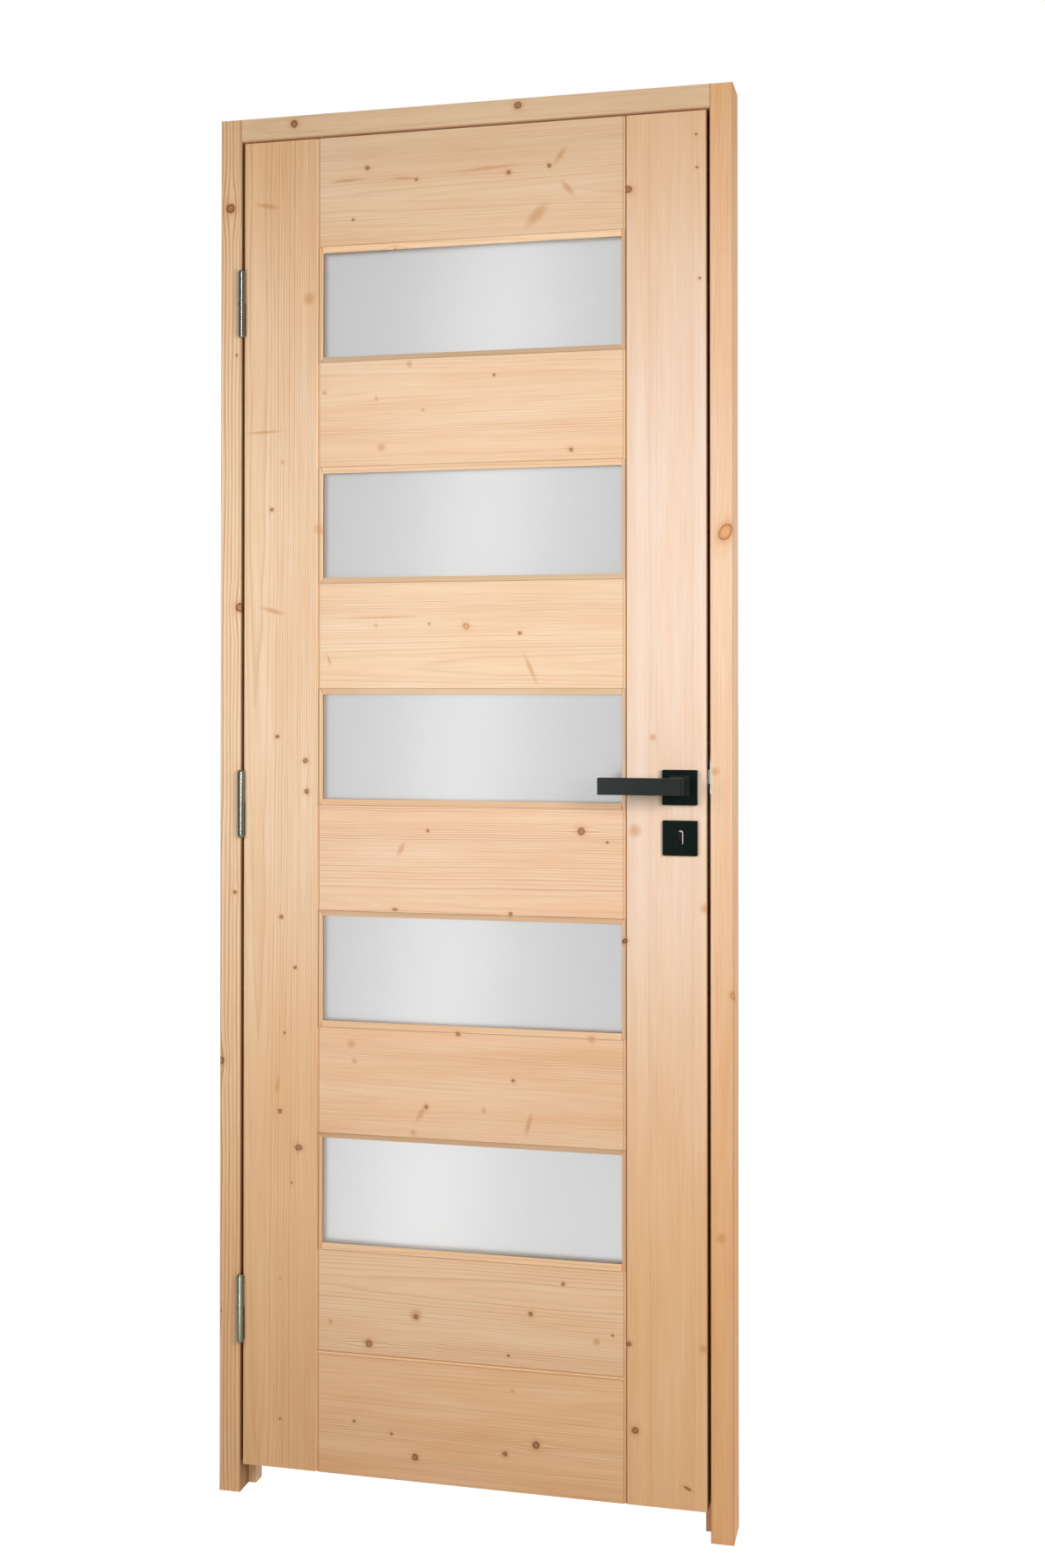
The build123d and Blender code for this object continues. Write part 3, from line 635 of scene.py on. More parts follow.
@dataclass(frozen=True)
class BlackCoat:
    """Die-cast zinc alloy with a baked matt black powder coat, rubbed off round a keyhole.

    The eye gets a near-black, faintly green face, an even fine orange peel, soft light edges, and
    a thin pale line of bare metal up one side of the keyhole, where the keys have rubbed.

    The keyhole is its middle across and up, its radius and half its straight part, in millimetres.
    Rubbed is how far the bare rim reaches, and rub side how far it lies to the right and up.
    """

    name: str = "matt_black_powder_coated_zinc"
    body: str = "#191D1B"
    sheen: float = 0.2
    peel_mm: float = 0.9
    cloud_mm: float = 22.0
    keyhole: tuple[float, float, float, float] | None = None
    rubbed: float = 0.1
    rub_side: float = 1.0

    def _bare(self, add: Adder, place: Socket) -> Node:
        """How bare the metal is: 1 on the keyhole's rim and 0 away from it.

        Args:
            add: Adds a node to the coat's material.
            place: The place on the piece, in metres.

        Returns:
            The share of bare metal.
        """
        x, z, radius, straight = self.keyhole
        shift = (-x - self.rub_side, 0, -z - self.rub_side)
        away = add("VectorMath", {0: place, 1: (1 / MM, 0, 1 / MM), 2: shift}, operation="MULTIPLY_ADD")
        parts = add("SeparateXYZ", {0: away}).outputs
        rise = add("Math", {0: parts["Z"]}, operation="ABSOLUTE")
        rise = add("Math", {0: rise, 1: straight}, operation="SUBTRACT")
        rise = add("Math", {0: rise, 1: 0.0}, operation="MAXIMUM")
        out = add("CombineXYZ", {0: parts["X"], 2: rise})
        out = add("VectorMath", {0: out}, operation="LENGTH")
        edge = radius + self.rubbed
        return add("MapRange", {"Value": out, "From Min": edge + 0.3, "From Max": edge})

    def build(self) -> bpy.types.Material:
        """Makes the coat.

        Returns:
            The material.
        """
        material, add = new_material(self.name)
        place = add("TexCoord").outputs["Object"]
        peel = add("TexNoise", {"Vector": place, "Scale": 1 / (self.peel_mm * MM), "Detail": 2.0})
        rub = add("TexNoise", {"Vector": place, "Scale": 1 / (self.cloud_mm * MM), "Detail": 3.0})
        matt = add("MapRange", {"Value": rub, "To Min": 0.34, "To Max": 0.5})
        bump = add("Bump", {"Strength": 0.18, "Distance": 0.04 * MM, "Height": peel})
        colour = linear(self.body)
        metal = 0.0
        if self.keyhole:
            metal = self._bare(add, place)
            colour = add("Mix", {0: metal, 1: colour, 2: linear("#D8C9BC")}, data_type="RGBA")
        surface = add(
            "BsdfPrincipled",
            {
                "Base Color": colour,
                "Metallic": metal,
                "Roughness": matt,
                "Specular IOR Level": self.sheen,
                "Normal": bump,
            },
        )
        add("OutputMaterial", {"Surface": surface})
        return material


def block(
    shape: bmesh.types.BMesh,
    low: tuple[float, float, float],
    high: tuple[float, float, float],
) -> list[bmesh.types.BMVert]:
    """Adds a block between two corners, in millimetres.

    Args:
        shape: The mesh that gets the block.
        low: Its lowest corner.
        high: Its highest corner.

    Returns:
        The block's vertices.
    """
    corners = bmesh.ops.create_cube(shape, size=1.0)["verts"]
    bmesh.ops.scale(shape, verts=corners, vec=[(b - a) * MM for a, b in zip(low, high)])
    bmesh.ops.translate(shape, verts=corners, vec=[(a + b) / 2 * MM for a, b in zip(low, high)])
    return corners


def round_edges(
    shape: bmesh.types.BMesh, edges: list[bmesh.types.BMEdge], radius: float, steps: int
) -> None:
    """Rounds edges, or cuts them off straight where there is one step.

    Args:
        shape: The mesh that has them.
        edges: The edges.
        radius: How far the cut reaches, in millimetres.
        steps: How many faces it has.
    """
    bmesh.ops.bevel(
        shape,
        geom=edges,
        offset=radius * MM,
        offset_type="OFFSET",
        affect="EDGES",
        segments=steps,
        profile=0.5,
        material=-1,
        clamp_overlap=True,
    )


def edges_of(verts: list[bmesh.types.BMVert]) -> list[bmesh.types.BMEdge]:
    """The edges between the given vertices, each once and in their own order."""
    own = set(verts)
    found = {edge: None for vert in verts for edge in vert.link_edges if set(edge.verts) <= own}
    return list(found)


def carve(solid: bmesh.types.BMesh, cutter: bmesh.types.BMesh) -> bmesh.types.BMesh:
    """Cuts one closed shape out of another and frees both.

    Args:
        solid: The shape that loses material.
        cutter: The shape that is taken away.

    Returns:
        The carved shape.
    """
    pair = []
    for part, name in ((solid, "carved"), (cutter, "cutter")):
        mesh = bpy.data.meshes.new(name)
        part.to_mesh(mesh)
        part.free()
        piece = bpy.data.objects.new(name, mesh)
        bpy.context.collection.objects.link(piece)
        pair.append(piece)
    cut = pair[0].modifiers.new("cut", "BOOLEAN")
    cut.operation = "DIFFERENCE"
    cut.solver = "EXACT"
    cut.use_self = True
    cut.object = pair[1]
    bpy.context.view_layer.update()
    made = bpy.data.meshes.new_from_object(pair[0].evaluated_get(bpy.context.evaluated_depsgraph_get()))
    result = bmesh.new()
    result.from_mesh(made)
    for piece in pair:
        bpy.data.objects.remove(piece)
    bpy.data.meshes.remove(made)
    return result


def finished(
    shape: bmesh.types.BMesh, name: str, body: str, material: bpy.types.Material
) -> bpy.types.Object:
    """Turns a shape into a piece of the object, smooth over its fine edges only.

    Args:
        shape: The shape, which is freed.
        name: The piece's name.
        body: The body that it rides on.
        material: Its material.

    Returns:
        The piece.
    """
    mesh = bpy.data.meshes.new(name)
    shape.to_mesh(mesh)
    shape.free()
    mesh.shade_smooth()
    mesh.set_sharp_from_angle(angle=math.radians(34))
    piece = bpy.data.objects.new(name, mesh)
    bpy.context.collection.objects.link(piece)
    weighted = piece.modifiers.new("flat_faces", "WEIGHTED_NORMAL")
    weighted.keep_sharp = True
    wear(piece, material)
    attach(piece, body)
    return piece


@dataclass
class DoorFrame:
    """The two jambs, the head and the stops planted on them."""

    middle: float = 0.0
    half: float = 30.0
    boards: dict[str, Spruce] = field(
        default_factory=lambda: {
            "hinge_jamb": Spruce(
                "planed_spruce_hinge_jamb", Grain.UPRIGHT, pith=(-62.0, 8.0), ring=5.4, climb=0.006,
                wander=2.6, contrast=1.7, early="#F8D9B5", warm="#F2CCA4", late="#B98552",
                gap_shade="#8A5C38", end_shade=0.65, seed=1.3,
                knots=(
                    Knot(15, 1932, 6), Knot(25, 1709, 1.5), Knot(31, 1328, 6), Knot(24, 899, 2.4),
                    Knot(1, 645, 5), Knot(0, 269, 2.2),
                ),
            ),
            "lock_jamb": Spruce(
                "planed_spruce_lock_jamb", Grain.UPRIGHT, pith=(720.0, 50.0), ring=2.2, contrast=0.7,
                early="#F4D1B2", warm="#EDC29B", late="#C78D56", end_shade=0.97, seed=2.7,
                knots=(
                    faint(749, 1088, 6), Knot(764, 1427, 8.5, KnotKind.RED, 12.5, 62),
                    Knot(776, 773, 5, KnotKind.RED), faint(757, 430, 7),
                ),
            ),
            "head_jamb": Spruce(
                "planed_spruce_head", Grain.LEVEL, pith=(2052.0, 20.0), ring=2.8, early="#F1CFA8",
                warm="#EAC298", seed=3.9, knots=(Knot(117, 2053, 4.5), Knot(462, 2055, 4.5)),
            ),
            "hinge_stop": Spruce(
                "planed_spruce_hinge_stop", Grain.UPRIGHT, pith=(60.0, -20.0), ring=2.6, seed=4.2,
            ),
            "lock_stop": Spruce(
                "planed_spruce_lock_stop", Grain.UPRIGHT, pith=(700.0, -18.0), ring=2.4, seed=5.1,
            ),
            "head_stop": Spruce(
                "planed_spruce_head_stop", Grain.LEVEL, pith=(2000.0, -10.0), ring=2.5, seed=6.4,
            ),
        }
    )

    def build(self, nodes: dict[str, bpy.types.Object]) -> list[str]:
        """Dresses the frame.

        Args:
            nodes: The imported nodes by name.

        Returns:
            The names of the pieces dressed.
        """
        for name, finish in self.boards.items():
            wear(nodes[name], replace(finish, middle=self.middle, half=self.half).build())
        return list(self.boards)


@dataclass
class DoorLeaf:
    """The stiles and rails, and the beads that hold the panes from behind."""

    boards: dict[str, Spruce] = field(
        default_factory=lambda: {
            "hinge_stile": Spruce(
                "planed_spruce_hinge_stile", Grain.UPRIGHT, pith=(60.0, 14.0), ring=3.4, contrast=1.7,
                fade=3.0, line=(2.1, 3.1), late="#B9824D", end_shade=0.78, seed=0.4,
                knots=(
                    Knot(82, 1474, 2.2), Knot(91, 1134, 2.4), Knot(136, 1098, 3.2), Knot(138, 1052, 3),
                    Knot(98, 864, 2.6), Knot(120, 789, 2), Knot(103, 691, 1.6), Knot(96, 574, 2.6),
                    Knot(126, 521, 3.6, length=4.8), Knot(115, 468, 1.5), Knot(97, 116, 1.4),
                    spike(74, 1932, 3.5, 17, -12), spike(70, 1591, 2.5, 26, 2), faint(141, 1789, 9),
                    faint(99, 1545, 3.5), spike(84, 1322, 3.5, 19, -16), faint(157, 1444, 8),
                    spike(92, 612, 3, 12, 84), faint(97, 325, 2),
                ),
            ),
            "lock_stile": Spruce(
                "planed_spruce_lock_stile", Grain.UPRIGHT, pith=(430.0, -60.0), ring=2.1, climb=0.002,
                wander=1.0, contrast=0.55, early="#F6DECB", warm="#F2D2B6", gap_shade="#8A5C38",
                line=(0.5, 2.0), crease_shade_share=0.85, end_shade=1.0, seed=7.7,
                knots=(
                    Knot(624, 1922, 4.2, length=5.5, turn=-12), Knot(723, 1994, 1.6),
                    Knot(724, 1947, 1.5), Knot(728, 1789, 1.6), Knot(620, 845, 3), Knot(625, 271, 2.8),
                    Knot(634, 149, 4), Knot(709, 74, 1.5, length=4.5, turn=-25), faint(660, 1136, 5),
                    faint(634, 1002, 9), faint(735, 894, 7), faint(732, 273, 6),
                ),
            ),
            "top_rail": Spruce(
                "planed_spruce_top_rail", Grain.LEVEL, pith=(1928.0, 16.0), ring=2.6, climb=0.01,
                contrast=1.0, early="#F4D1AE", warm="#EFC599", seed=8.1,
                knots=(
                    Knot(232, 1979, 2.6), Knot(210, 1903, 1.6), Knot(509, 1964, 2.4),
                    Knot(448, 1958, 2.6), Knot(276, 1857, 2.6), Knot(308, 1957, 1.8),
                    spike(490, 1893, 8, 20, 45), spike(525, 1978, 4.5, 13, 55),
                    spike(536, 1930, 4.5, 13, -50), spike(200, 1962, 2.5, 26, 2),
                    spike(290, 1960, 2.2, 24, -3), spike(414, 1966, 2.2, 46, 3),
                ),
            ),
            "middle_rail_1": Spruce(
                "planed_spruce_rail_1", Grain.LEVEL, pith=(1655.0, 18.0), ring=2.7, climb=-0.008,
                contrast=0.9, early="#F4D1AF", warm="#EFC59A", seed=9.5,
                knots=(
                    Knot(426, 1663, 1.6), Knot(541, 1551, 2.4), faint(297, 1685, 5), faint(165, 1647, 4),
                    faint(254, 1563, 6), faint(246, 1635, 3), faint(318, 1616, 3),
                ),
            ),
            "middle_rail_2": Spruce(
                "planed_spruce_rail_2", Grain.LEVEL, pith=(1238.0, 14.0), ring=3.0, climb=0.012,
                contrast=0.95, seed=10.2,
                knots=(
                    Knot(384, 1297, 4, KnotKind.RED), Knot(328, 1301, 1.4), Knot(465, 1286, 2),
                    faint(246, 1299, 3), spike(173, 1248, 2, 8, -70), spike(481, 1234, 3.2, 22, -66),
                    spike(254, 1311, 1.8, 60, 1),
                ),
            ),
            "middle_rail_3": Spruce(
                "planed_spruce_rail_3", Grain.LEVEL, pith=(896.0, 12.0), ring=3.2, climb=0.006,
                contrast=1.3, early="#F4CFAE", warm="#EFC399", seed=11.6,
                knots=(
                    Knot(556, 1000, 4.5), Knot(326, 997, 1.8), Knot(276, 880, 1.6, length=3.5),
                    Knot(451, 878, 2.4), Knot(594, 985, 1.4), spike(285, 969, 4, 11, 62),
                ),
            ),
            "middle_rail_4": Spruce(
                "planed_spruce_rail_4", Grain.LEVEL, pith=(600.0, 20.0), ring=2.7, climb=-0.01,
                contrast=0.85, early="#F4CCA5", warm="#ECBB8A", seed=12.3,
                knots=(
                    Knot(372, 701, 2.6), Knot(324, 592, 2.4), Knot(455, 637, 1.9), faint(208, 679, 6),
                    faint(411, 591, 4), spike(316, 582, 4, 14, 58), spike(478, 575, 3.5, 16, 74),
                    faint(571, 702, 6), faint(304, 553, 5), faint(213, 654, 4),
                ),
            ),
            "lower_rail": Spruce(
                "planed_spruce_lower_rail", Grain.LEVEL, pith=(330.0, 12.0), ring=3.1, climb=0.006,
                contrast=1.15, early="#FAD4AB", warm="#F4C697", seed=13.8,
                knots=(
                    Knot(236, 239, 4.6), Knot(529, 349, 1.9), Knot(481, 302, 2.6), Knot(448, 239, 1.7),
                    Knot(601, 281, 1.5), Knot(308, 284, 3), faint(308, 287, 9), faint(176, 267, 4),
                    faint(578, 270, 5),
                ),
            ),
            "bottom_rail": Spruce(
                "planed_spruce_bottom_rail", Grain.LEVEL, pith=(176.0, 24.0), ring=2.6, contrast=1.15,
                early="#F7CC9D", warm="#F0BC88", seed=14.4,
                knots=(
                    Knot(213, 123, 1.8), Knot(271, 110, 1.8), Knot(307, 79, 4), Knot(443, 97, 2.9),
                    faint(454, 189, 3), Knot(489, 114, 4.5),
                ),
            ),
        }
    )
    bead_count: int = 5
    bead: Spruce = Spruce("planed_spruce_glazing_bead", Grain.LEVEL, (900.0, -60.0), ring=2.2, seed=15.9)

    def build(self, nodes: dict[str, bpy.types.Object]) -> list[str]:
        """Dresses the leaf's woodwork.

        Args:
            nodes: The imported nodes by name.

        Returns:
            The names of the pieces dressed.
        """
        for name, finish in self.boards.items():
            wear(nodes[name], finish.build())
        beads = [f"glazing_bead_{number}" for number in range(1, self.bead_count + 1)]
        wood = self.bead.build()
        for name in beads:
            wear(nodes[name], wood)
        return [*self.boards, *beads]


@dataclass
class Glazing:
    """The satin glass panes."""

    pane_count: int = 5
    finish: SatinGlass = SatinGlass()

    def build(self, nodes: dict[str, bpy.types.Object]) -> list[str]:
        """Dresses the panes.

        Args:
            nodes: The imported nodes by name.

        Returns:
            The names of the pieces dressed.
        """
        glass = self.finish.build()
        panes = [f"glass_pane_{number}" for number in range(1, self.pane_count + 1)]
        for name in panes:
            wear(nodes[name], glass)
        return panes


@dataclass
class Screws:
    """Countersunk cross-recess screws, made once and set in rows."""

    head_radius: float = 3.9
    head_height: float = 0.9
    rim: float = 0.35
    proud: float = 0.25
    recess_length: float = 4.6
    recess_width: float = 1.1
    recess_depth: float = 0.8

    def _head(self) -> bmesh.types.BMesh:
        """One head, its flat top up at the origin, with the cross sunk into it.

        Returns:
            The head's mesh.
        """
        head = bmesh.new()
        bmesh.ops.create_cone(
            head,
            cap_ends=True,
            segments=28,
            radius1=(self.head_radius - self.head_height) * MM,
            radius2=self.head_radius * MM,
            depth=self.head_height * MM,
        )
        bmesh.ops.translate(head, verts=head.verts, vec=(0, 0, -self.head_height * MM / 2))
        head.normal_update()
        top = [face for face in head.faces if face.normal.z > 0.9]
        bmesh.ops.inset_region(head, faces=top, thickness=self.rim * MM, depth=self.rim * MM / 3)
        cross = bmesh.new()
        half, arm = self.recess_length / 2, self.recess_width / 2
        block(cross, (-half, -arm, -self.recess_depth), (half, arm, self.recess_depth))
        block(cross, (-arm, -half, -self.recess_depth), (arm, half, self.recess_depth))
        return carve(head, cross)

    def build(
        self,
        name: str,
        spots: Sequence[tuple[float, float, float]],
        facing: float,
        body: str,
        material: bpy.types.Material,
    ) -> bpy.types.Object:
        """Sets a row of screws into an upright plate.

        Args:
            name: The new piece's name.
            spots: The middle of each head on the plate's face, in millimetres.
            facing: 1 where the face looks along X, and -1 where it looks back.
            body: The body that the screws ride on.
            material: Their metal.

        Returns:
            The new piece.
        """
        row = self._head()
        heads = [list(row.verts) + list(row.edges) + list(row.faces)]
        for _ in spots[1:]:
            heads.append(bmesh.ops.duplicate(row, geom=heads[0])["geom"])
        for number, (spot, head) in enumerate(zip(spots, heads)):
            driven = Matrix.Rotation(0.5 + 1.1 * number, 4, "Z")
            turned = Matrix.Rotation(facing * math.pi / 2, 4, "Y") @ driven
            place = (Vector(spot) + Vector((facing * self.proud, 0, 0))) * MM
            verts = [part for part in head if isinstance(part, bmesh.types.BMVert)]
            bmesh.ops.transform(row, matrix=Matrix.Translation(place) @ turned, verts=verts)
        return finished(row, name, body, material)


@dataclass
class HingeSet:
    """The three lift-off hinges and the screws in their plates."""

    frame_face: float = 33.0
    leaf_face: float = 37.5
    heights: dict[str, float] = field(
        default_factory=lambda: {"bottom": 277.0, "middle": 1032.5, "top": 1785.0}
    )
    rows: tuple[tuple[float, float], ...] = ((-18.0, 34.0), (-11.0, 0.0), (-18.0, -34.0))
    finish: PlatedSteel = PlatedSteel("zinc_plated_rolled_steel", body="#7A7E74", roughness=0.14)

    def build(self, nodes: dict[str, bpy.types.Object], screws: Screws) -> list[str]:
        """Dresses the hinges and screws them down.

        Args:
            nodes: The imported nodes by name.
            screws: The maker of screws.

        Returns:
            The names of the pieces made or dressed.
        """
        metal = self.finish.build()
        made = ["hinge_pins"]
        wear(nodes["hinge_pins"], metal)
        for place, height in self.heights.items():
            for half, face, facing, body in (
                ("frame", self.frame_face, 1.0, "frame"),
                ("leaf", self.leaf_face, -1.0, "leaf"),
            ):
                node = f"{place}_hinge_{half}_half"
                wear(nodes[node], metal)
                spots = [(face, y, height + rise) for y, rise in self.rows]
                piece = screws.build(f"{place}_hinge_{half}_screws", spots, facing, body, metal)
                made += [node, piece.name]
        return made


@dataclass
class LockSet:
    """The mortise lock, its faceplate and the strike plate, with their screws."""

    leaf_edge: float = 737.5
    jamb_face: float = 742.0
    middle: float = 1036.5
    leaf_depth: float = -12.5
    strike_depth: float = -13.2
    faceplate_reach: float = 106.0
    strike_reach: float = 79.0
    case_finish: PlatedSteel = PlatedSteel("galvanised_pressed_steel_case", body="#34383A", roughness=0.5)
    plate_finish: PlatedSteel = PlatedSteel("nickel_plated_brushed_steel", body="#DADAD6", roughness=0.42)

    def build(self, nodes: dict[str, bpy.types.Object], screws: Screws) -> list[str]:
        """Dresses the lock and screws its plates down.

        Args:
            nodes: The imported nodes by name.
            screws: The maker of screws.

        Returns:
            The names of the pieces made or dressed.
        """
        wear(nodes["lock_case"], self.case_finish.build())
        plated = self.plate_finish.build()
        dressed = ["latch", "dead_bolt", "spindle", "lock_faceplate", "strike_plate"]
        for name in dressed:
            wear(nodes[name], plated)
        ends = [self.middle + end * self.faceplate_reach for end in (-1, 1)]
        on_leaf = [(self.leaf_edge, self.leaf_depth, height) for height in ends]
        ends = [self.middle + end * self.strike_reach for end in (-1, 1)]
        on_frame = [(self.jamb_face, self.strike_depth, height) for height in ends]
        first = screws.build("faceplate_screws", on_leaf, 1.0, "leaf", plated)
        second = screws.build("strike_screws", on_frame, -1.0, "frame", plated)
        return ["lock_case", *dressed, first.name, second.name]


@dataclass
class LeverSet:
    """The black levers, roses and key escutcheons on both faces of the leaf."""

    front_face: float = -30.0
    leaf_middle: float = -12.5
    spindle_x: float = 699.5
    spindle_z: float = 1065.0
    key_z: float = 993.0
    plate_size: float = 50.0
    plate_corner: float = 1.5
    plate_rim: float = 0.8
    rose_thick: float = 8.0
    escutcheon_thick: float = 4.5
    keyhole_width: float = 6.5
    keyhole_height: float = 20.0
    projection: float = 55.0
    bar_thick: float = 11.0
    bar_height: float = 24.0
    reach: float = 110.0
    neck_width: float = 20.0
    neck_chamfer: float = 4.5
    groove_width: float = 1.4
    groove_depth: float = 1.2
    foot_width: float = 29.0
    foot_height: float = 28.0
    foot_thick: float = 2.5
    lift: float = 3.0
    gap: float = 0.2
    edge: float = 0.8
    lever_finish: BlackCoat = BlackCoat(body="#1B211E")
    # The plates wear the lever's coat with a darker body and less sheen: painted shade on the roses and
    # escutcheons.
    plate_finish: BlackCoat = BlackCoat("matt_black_powder_coated_plate_in_painted_shade", body="#0A1814", sheen=0.06)

    def _plate(self, height: float, thick: float) -> bmesh.types.BMesh:
        """A square plate on the front of the leaf, with rounded corners and a soft outer rim.

        Args:
            height: The height of its middle above the floor.
            thick: How far it stands out.

        Returns:
            The plate.
        """
        plate = bmesh.new()
        half = self.plate_size / 2
        near = self.front_face - thick
        low = (self.spindle_x - half, near, height - half)
        block(plate, low, (self.spindle_x + half, self.front_face, height + half))
        corners = [edge for edge in plate.edges if abs((edge.verts[0].co - edge.verts[1].co).y) > 1e-6]
        round_edges(plate, corners, self.plate_corner, 5)
        rim = [edge for edge in plate.edges if all(vert.co.y < (near + 0.01) * MM for vert in edge.verts)]
        round_edges(plate, rim, self.plate_rim, 3)
        return plate

    def _keyhole(self) -> bmesh.types.BMesh:
        """The round-ended slot of the keyhole, long enough to cut through the escutcheon.

        Returns:
            The cutter.
        """
        slot = bmesh.new()
        radius = self.keyhole_width / 2
        straight = self.keyhole_height / 2 - radius
        near = self.front_face - 2 * self.escutcheon_thick
        ring = bmesh.ops.create_circle(slot, cap_ends=True, segments=32, radius=radius * MM)["verts"]
        for vert in ring:
            vert.co.y += math.copysign(straight * MM, vert.co.y)
        walls = bmesh.ops.extrude_face_region(slot, geom=list(slot.faces))["geom"]
        moved = [part for part in walls if isinstance(part, bmesh.types.BMVert)]
        bmesh.ops.translate(slot, verts=moved, vec=(0, 0, 3 * self.escutcheon_thick * MM))
        upright = Matrix.Rotation(-math.pi / 2, 3, "X")
        bmesh.ops.rotate(slot, verts=slot.verts, cent=(0, 0, 0), matrix=upright)
        middle = (self.spindle_x * MM, near * MM, self.key_z * MM)
        bmesh.ops.translate(slot, verts=slot.verts, vec=middle)
        bmesh.ops.recalc_face_normals(slot, faces=slot.faces)
        return slot

    def _centred(
        self, shape: bmesh.types.BMesh, width: float, height: float, near: float, far: float
    ) -> None:
        """Adds a block of the lever's neck, its long edges softened.

        Args:
            shape: The lever.
            width: Across the leaf.
            height: Up.
            near: Its nearest place in depth.
            far: Its furthest.
        """
        middle = self.spindle_z + self.lift
        low = (self.spindle_x - width / 2, near, middle - height / 2)
        verts = block(shape, low, (self.spindle_x + width / 2, far, middle + height / 2))
        round_edges(shape, edges_of(verts), self.edge / 2, 2)

    def _lever(self) -> bmesh.types.BMesh:
        """The flat bar, its grooved neck and its square foot.

        Returns:
            The lever.
        """
        lever = bmesh.new()
        outer = self.front_face - self.projection
        inner = outer + self.bar_thick
        root = self.front_face - self.rose_thick - self.gap
        middle = self.spindle_z + self.lift
        right = self.spindle_x + self.neck_width / 2
        low = (self.spindle_x - self.reach, outer, middle - self.bar_height / 2)
        bar = block(lever, low, (right, inner, middle + self.bar_height / 2))
        cheek = [
            edge
            for edge in edges_of(bar)
            if all(vert.co.x > (right - 1) * MM and vert.co.y < (outer + 1) * MM for vert in edge.verts)
        ]
        round_edges(lever, cheek, self.neck_chamfer, 1)
        round_edges(lever, list(lever.edges), self.edge, 3)
        grooved = inner + self.groove_width
        slim = 2 * self.groove_depth
        self._centred(lever, self.neck_width - slim, self.bar_height - slim, inner - 1, grooved + 1)
        self._centred(lever, self.neck_width, self.bar_height, grooved, root)
        self._centred(lever, self.foot_width, self.foot_height, root - self.foot_thick, root)
        return lever

    def _to_back(self, shape: bmesh.types.BMesh) -> None:
        """Mirrors a fitting to the other face of the leaf."""
        middle = Vector((0, self.leaf_middle * MM, 0))
        bmesh.ops.scale(shape, verts=shape.verts, vec=(1, -1, 1), space=Matrix.Translation(-middle))
        bmesh.ops.reverse_faces(shape, faces=shape.faces)

    def build(self) -> list[str]:
        """Makes the fine-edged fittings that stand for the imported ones.

        Returns:
            The names of the pieces made.
        """
        lever_coat = self.lever_finish.build()
        shaded_plate_coat = self.plate_finish.build()
        radius = self.keyhole_width / 2
        keyhole = (self.spindle_x, self.key_z, radius, self.keyhole_height / 2 - radius)
        key_finish = replace(self.plate_finish, name="matt_black_powder_coated_key_plate_in_painted_shade", keyhole=keyhole)
        shaded_key_coat = key_finish.build()
        made = []
        for side in ("front", "back"):
            rose = self._plate(self.spindle_z, self.rose_thick)
            escutcheon = carve(self._plate(self.key_z, self.escutcheon_thick), self._keyhole())
            for shape, node, body, coat in (
                (rose, "rose", "leaf", shaded_plate_coat),
                (escutcheon, "escutcheon", "leaf", shaded_key_coat),
                (self._lever(), "lever", "handle", lever_coat),
            ):
                if side == "back":
                    self._to_back(shape)
                piece = finished(shape, f"{side}_{node}_coated", body, coat)
                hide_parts(f"{side}_{node}")
                made.append(piece.name)
        return made


@dataclass(frozen=True)
class SoftBox:
    """A lamp with a soft face: its place and aim in metres, its sides in metres and its watts.

    Mirrored says whether glass and metal show it.
    """

    name: str
    place: tuple[float, float, float]
    aim: tuple[float, float, float]
    sides: tuple[float, float]
    power: float
    mirrored: bool = True


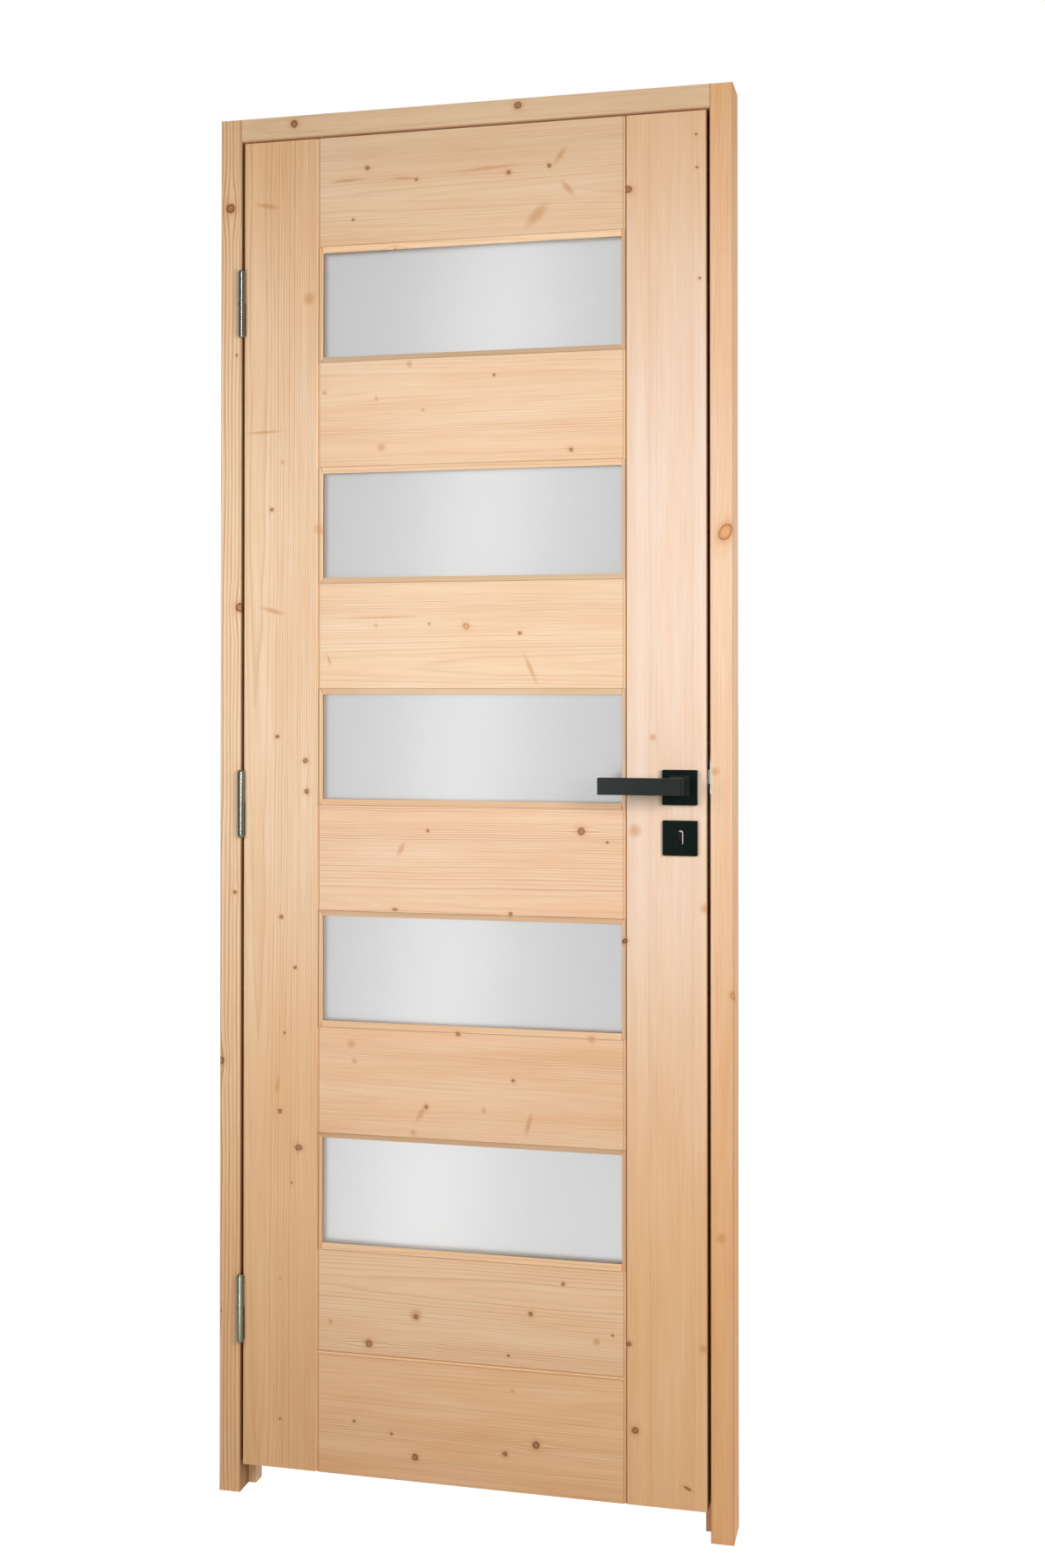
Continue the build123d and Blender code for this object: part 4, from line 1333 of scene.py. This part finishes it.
@dataclass
class Studio:
    """The camera at the photograph's viewing angle, a pale floor and soft lamps."""

    eye: tuple[float, float, float] = (1.072, -2.575, 1.202)
    tilt: float = 90.567
    pan: float = 13.33
    lens: float = 41.38
    drop: float = -0.0707
    floor_side: float = 30.0
    floor_lift: float = 0.93
    world_level: float = 0.09
    mirrored: float = 0.35
    key: SoftBox = SoftBox("key_soft_box", (1.6, -1.3, 1.4), (0.5, 0.0, 1.25), (0.8, 0.8), 19.8)
    fill: SoftBox = SoftBox(
        "fill_soft_box", (-0.35, -1.35, 1.36), (0.1, 0.0, 1.27), (0.8, 0.8), 11.3, False
    )
    back: SoftBox = SoftBox("back_soft_box", (2.1, 1.9, 1.7), (0.4, 0.0, 1.05), (1.2, 1.2), 30.0, False)
    strip: SoftBox = SoftBox("gleam_strip", (0.192, -0.75, 1.1), (0.192, 0.0, 1.1), (0.1, 2.2), 13.0)
    strip_lean: float = -5.2

    def camera(self) -> bpy.types.Object:
        """Sets the camera.

        Returns:
            The camera.
        """
        data = bpy.data.cameras.new("studio_camera")
        data.lens = self.lens
        data.sensor_width = 36.0
        data.shift_y = self.drop
        view = bpy.data.objects.new("studio_camera", data)
        view.location = self.eye
        view.rotation_euler = (math.radians(self.tilt), 0.0, math.radians(self.pan))
        bpy.context.collection.objects.link(view)
        bpy.context.scene.camera = view
        return view

    def _seen(self, add: Adder) -> Node:
        """1 for rays that show the backdrop to the camera, straight or through glass, and less in metal."""
        path = add("LightPath").outputs
        shine = add("Math", {0: path["Is Glossy Ray"], 1: self.mirrored}, operation="MULTIPLY")
        straight = add("Math", {0: path["Is Camera Ray"], 1: shine}, operation="MAXIMUM")
        return add("Math", {0: straight, 1: path["Is Transmission Ray"]}, operation="MAXIMUM")

    def floor(self) -> bpy.types.Object:
        """Lays the pale floor, which stays near white and keeps the door's shadow.

        Returns:
            The floor.
        """
        ground = bmesh.new()
        bmesh.ops.create_grid(ground, x_segments=2, y_segments=2, size=self.floor_side / 2)
        mesh = bpy.data.meshes.new("studio_floor")
        ground.to_mesh(mesh)
        ground.free()
        floor = bpy.data.objects.new("studio_floor", mesh)
        bpy.context.collection.objects.link(floor)
        material, add = new_material("white_paper_floor")
        paper = add("BsdfDiffuse", {"Color": linear("#F2F2F2")})
        strength = add("Math", {0: self._seen(add), 1: self.floor_lift}, operation="MULTIPLY")
        lift = add("Emission", {"Color": (1, 1, 1, 1), "Strength": strength})
        both = add("AddShader", {0: paper, 1: lift})
        add("OutputMaterial", {"Surface": both})
        wear(floor, material)
        return floor

    def lamp(self, box: SoftBox) -> bpy.types.Object:
        """Hangs a soft box.

        Args:
            box: The soft box.

        Returns:
            The lamp.
        """
        data = bpy.data.lights.new(box.name, "AREA")
        data.shape = "RECTANGLE"
        data.size, data.size_y = box.sides
        data.energy = box.power
        lamp = bpy.data.objects.new(box.name, data)
        lamp.location = box.place
        lamp.rotation_euler = (Vector(box.aim) - Vector(box.place)).to_track_quat("-Z", "Y").to_euler()
        lamp.visible_glossy = box.mirrored
        lamp.visible_transmission = False
        bpy.context.collection.objects.link(lamp)
        return lamp

    def gleam(self) -> bpy.types.Object:
        """Stands a tall strip light where the panes mirror it to the camera, a little off plumb.

        Returns:
            The lamp, which shows in gloss alone.
        """
        strip = self.lamp(self.strip)
        strip.rotation_euler.rotate_axis("Z", math.radians(self.strip_lean))
        strip.visible_camera = False
        strip.visible_diffuse = False
        return strip

    def build(self) -> list[str]:
        """Sets up the whole studio.

        Returns:
            The names of its pieces.
        """
        scene = bpy.context.scene
        scene.view_settings.view_transform = "Standard"
        world = bpy.data.worlds.new("white_studio")
        world.use_nodes = True
        world.node_tree.nodes.clear()
        add = partial(add_node, world.node_tree)
        strength = add("MapRange", {"Value": self._seen(add), "To Min": self.world_level, "To Max": 1.0})
        light = add("Background", {"Color": (1, 1, 1, 1), "Strength": strength})
        add("OutputWorld", {"Surface": light})
        scene.world = world
        back = self.lamp(self.back)
        fill = self.lamp(self.fill)
        made = [self.camera(), self.floor(), self.lamp(self.key), fill, self.gleam(), back]
        return [piece.name for piece in made]


def main() -> None:
    """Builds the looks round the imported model, piece by piece."""
    logging.basicConfig(level=logging.INFO, format="%(name)s: %(message)s")
    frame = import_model()
    nodes = frame["nodes"]
    screws = Screws()
    LOG.info("studio: %s", ", ".join(Studio().build()))
    LOG.info("frame: %s", ", ".join(DoorFrame().build(nodes)))
    LOG.info("leaf: %s", ", ".join(DoorLeaf().build(nodes)))
    LOG.info("glazing: %s", ", ".join(Glazing().build(nodes)))
    LOG.info("hinges: %s", ", ".join(HingeSet().build(nodes, screws)))
    LOG.info("lock: %s", ", ".join(LockSet().build(nodes, screws)))
    LOG.info("levers: %s", ", ".join(LeverSet().build()))


if __name__ == "__main__":
    main()
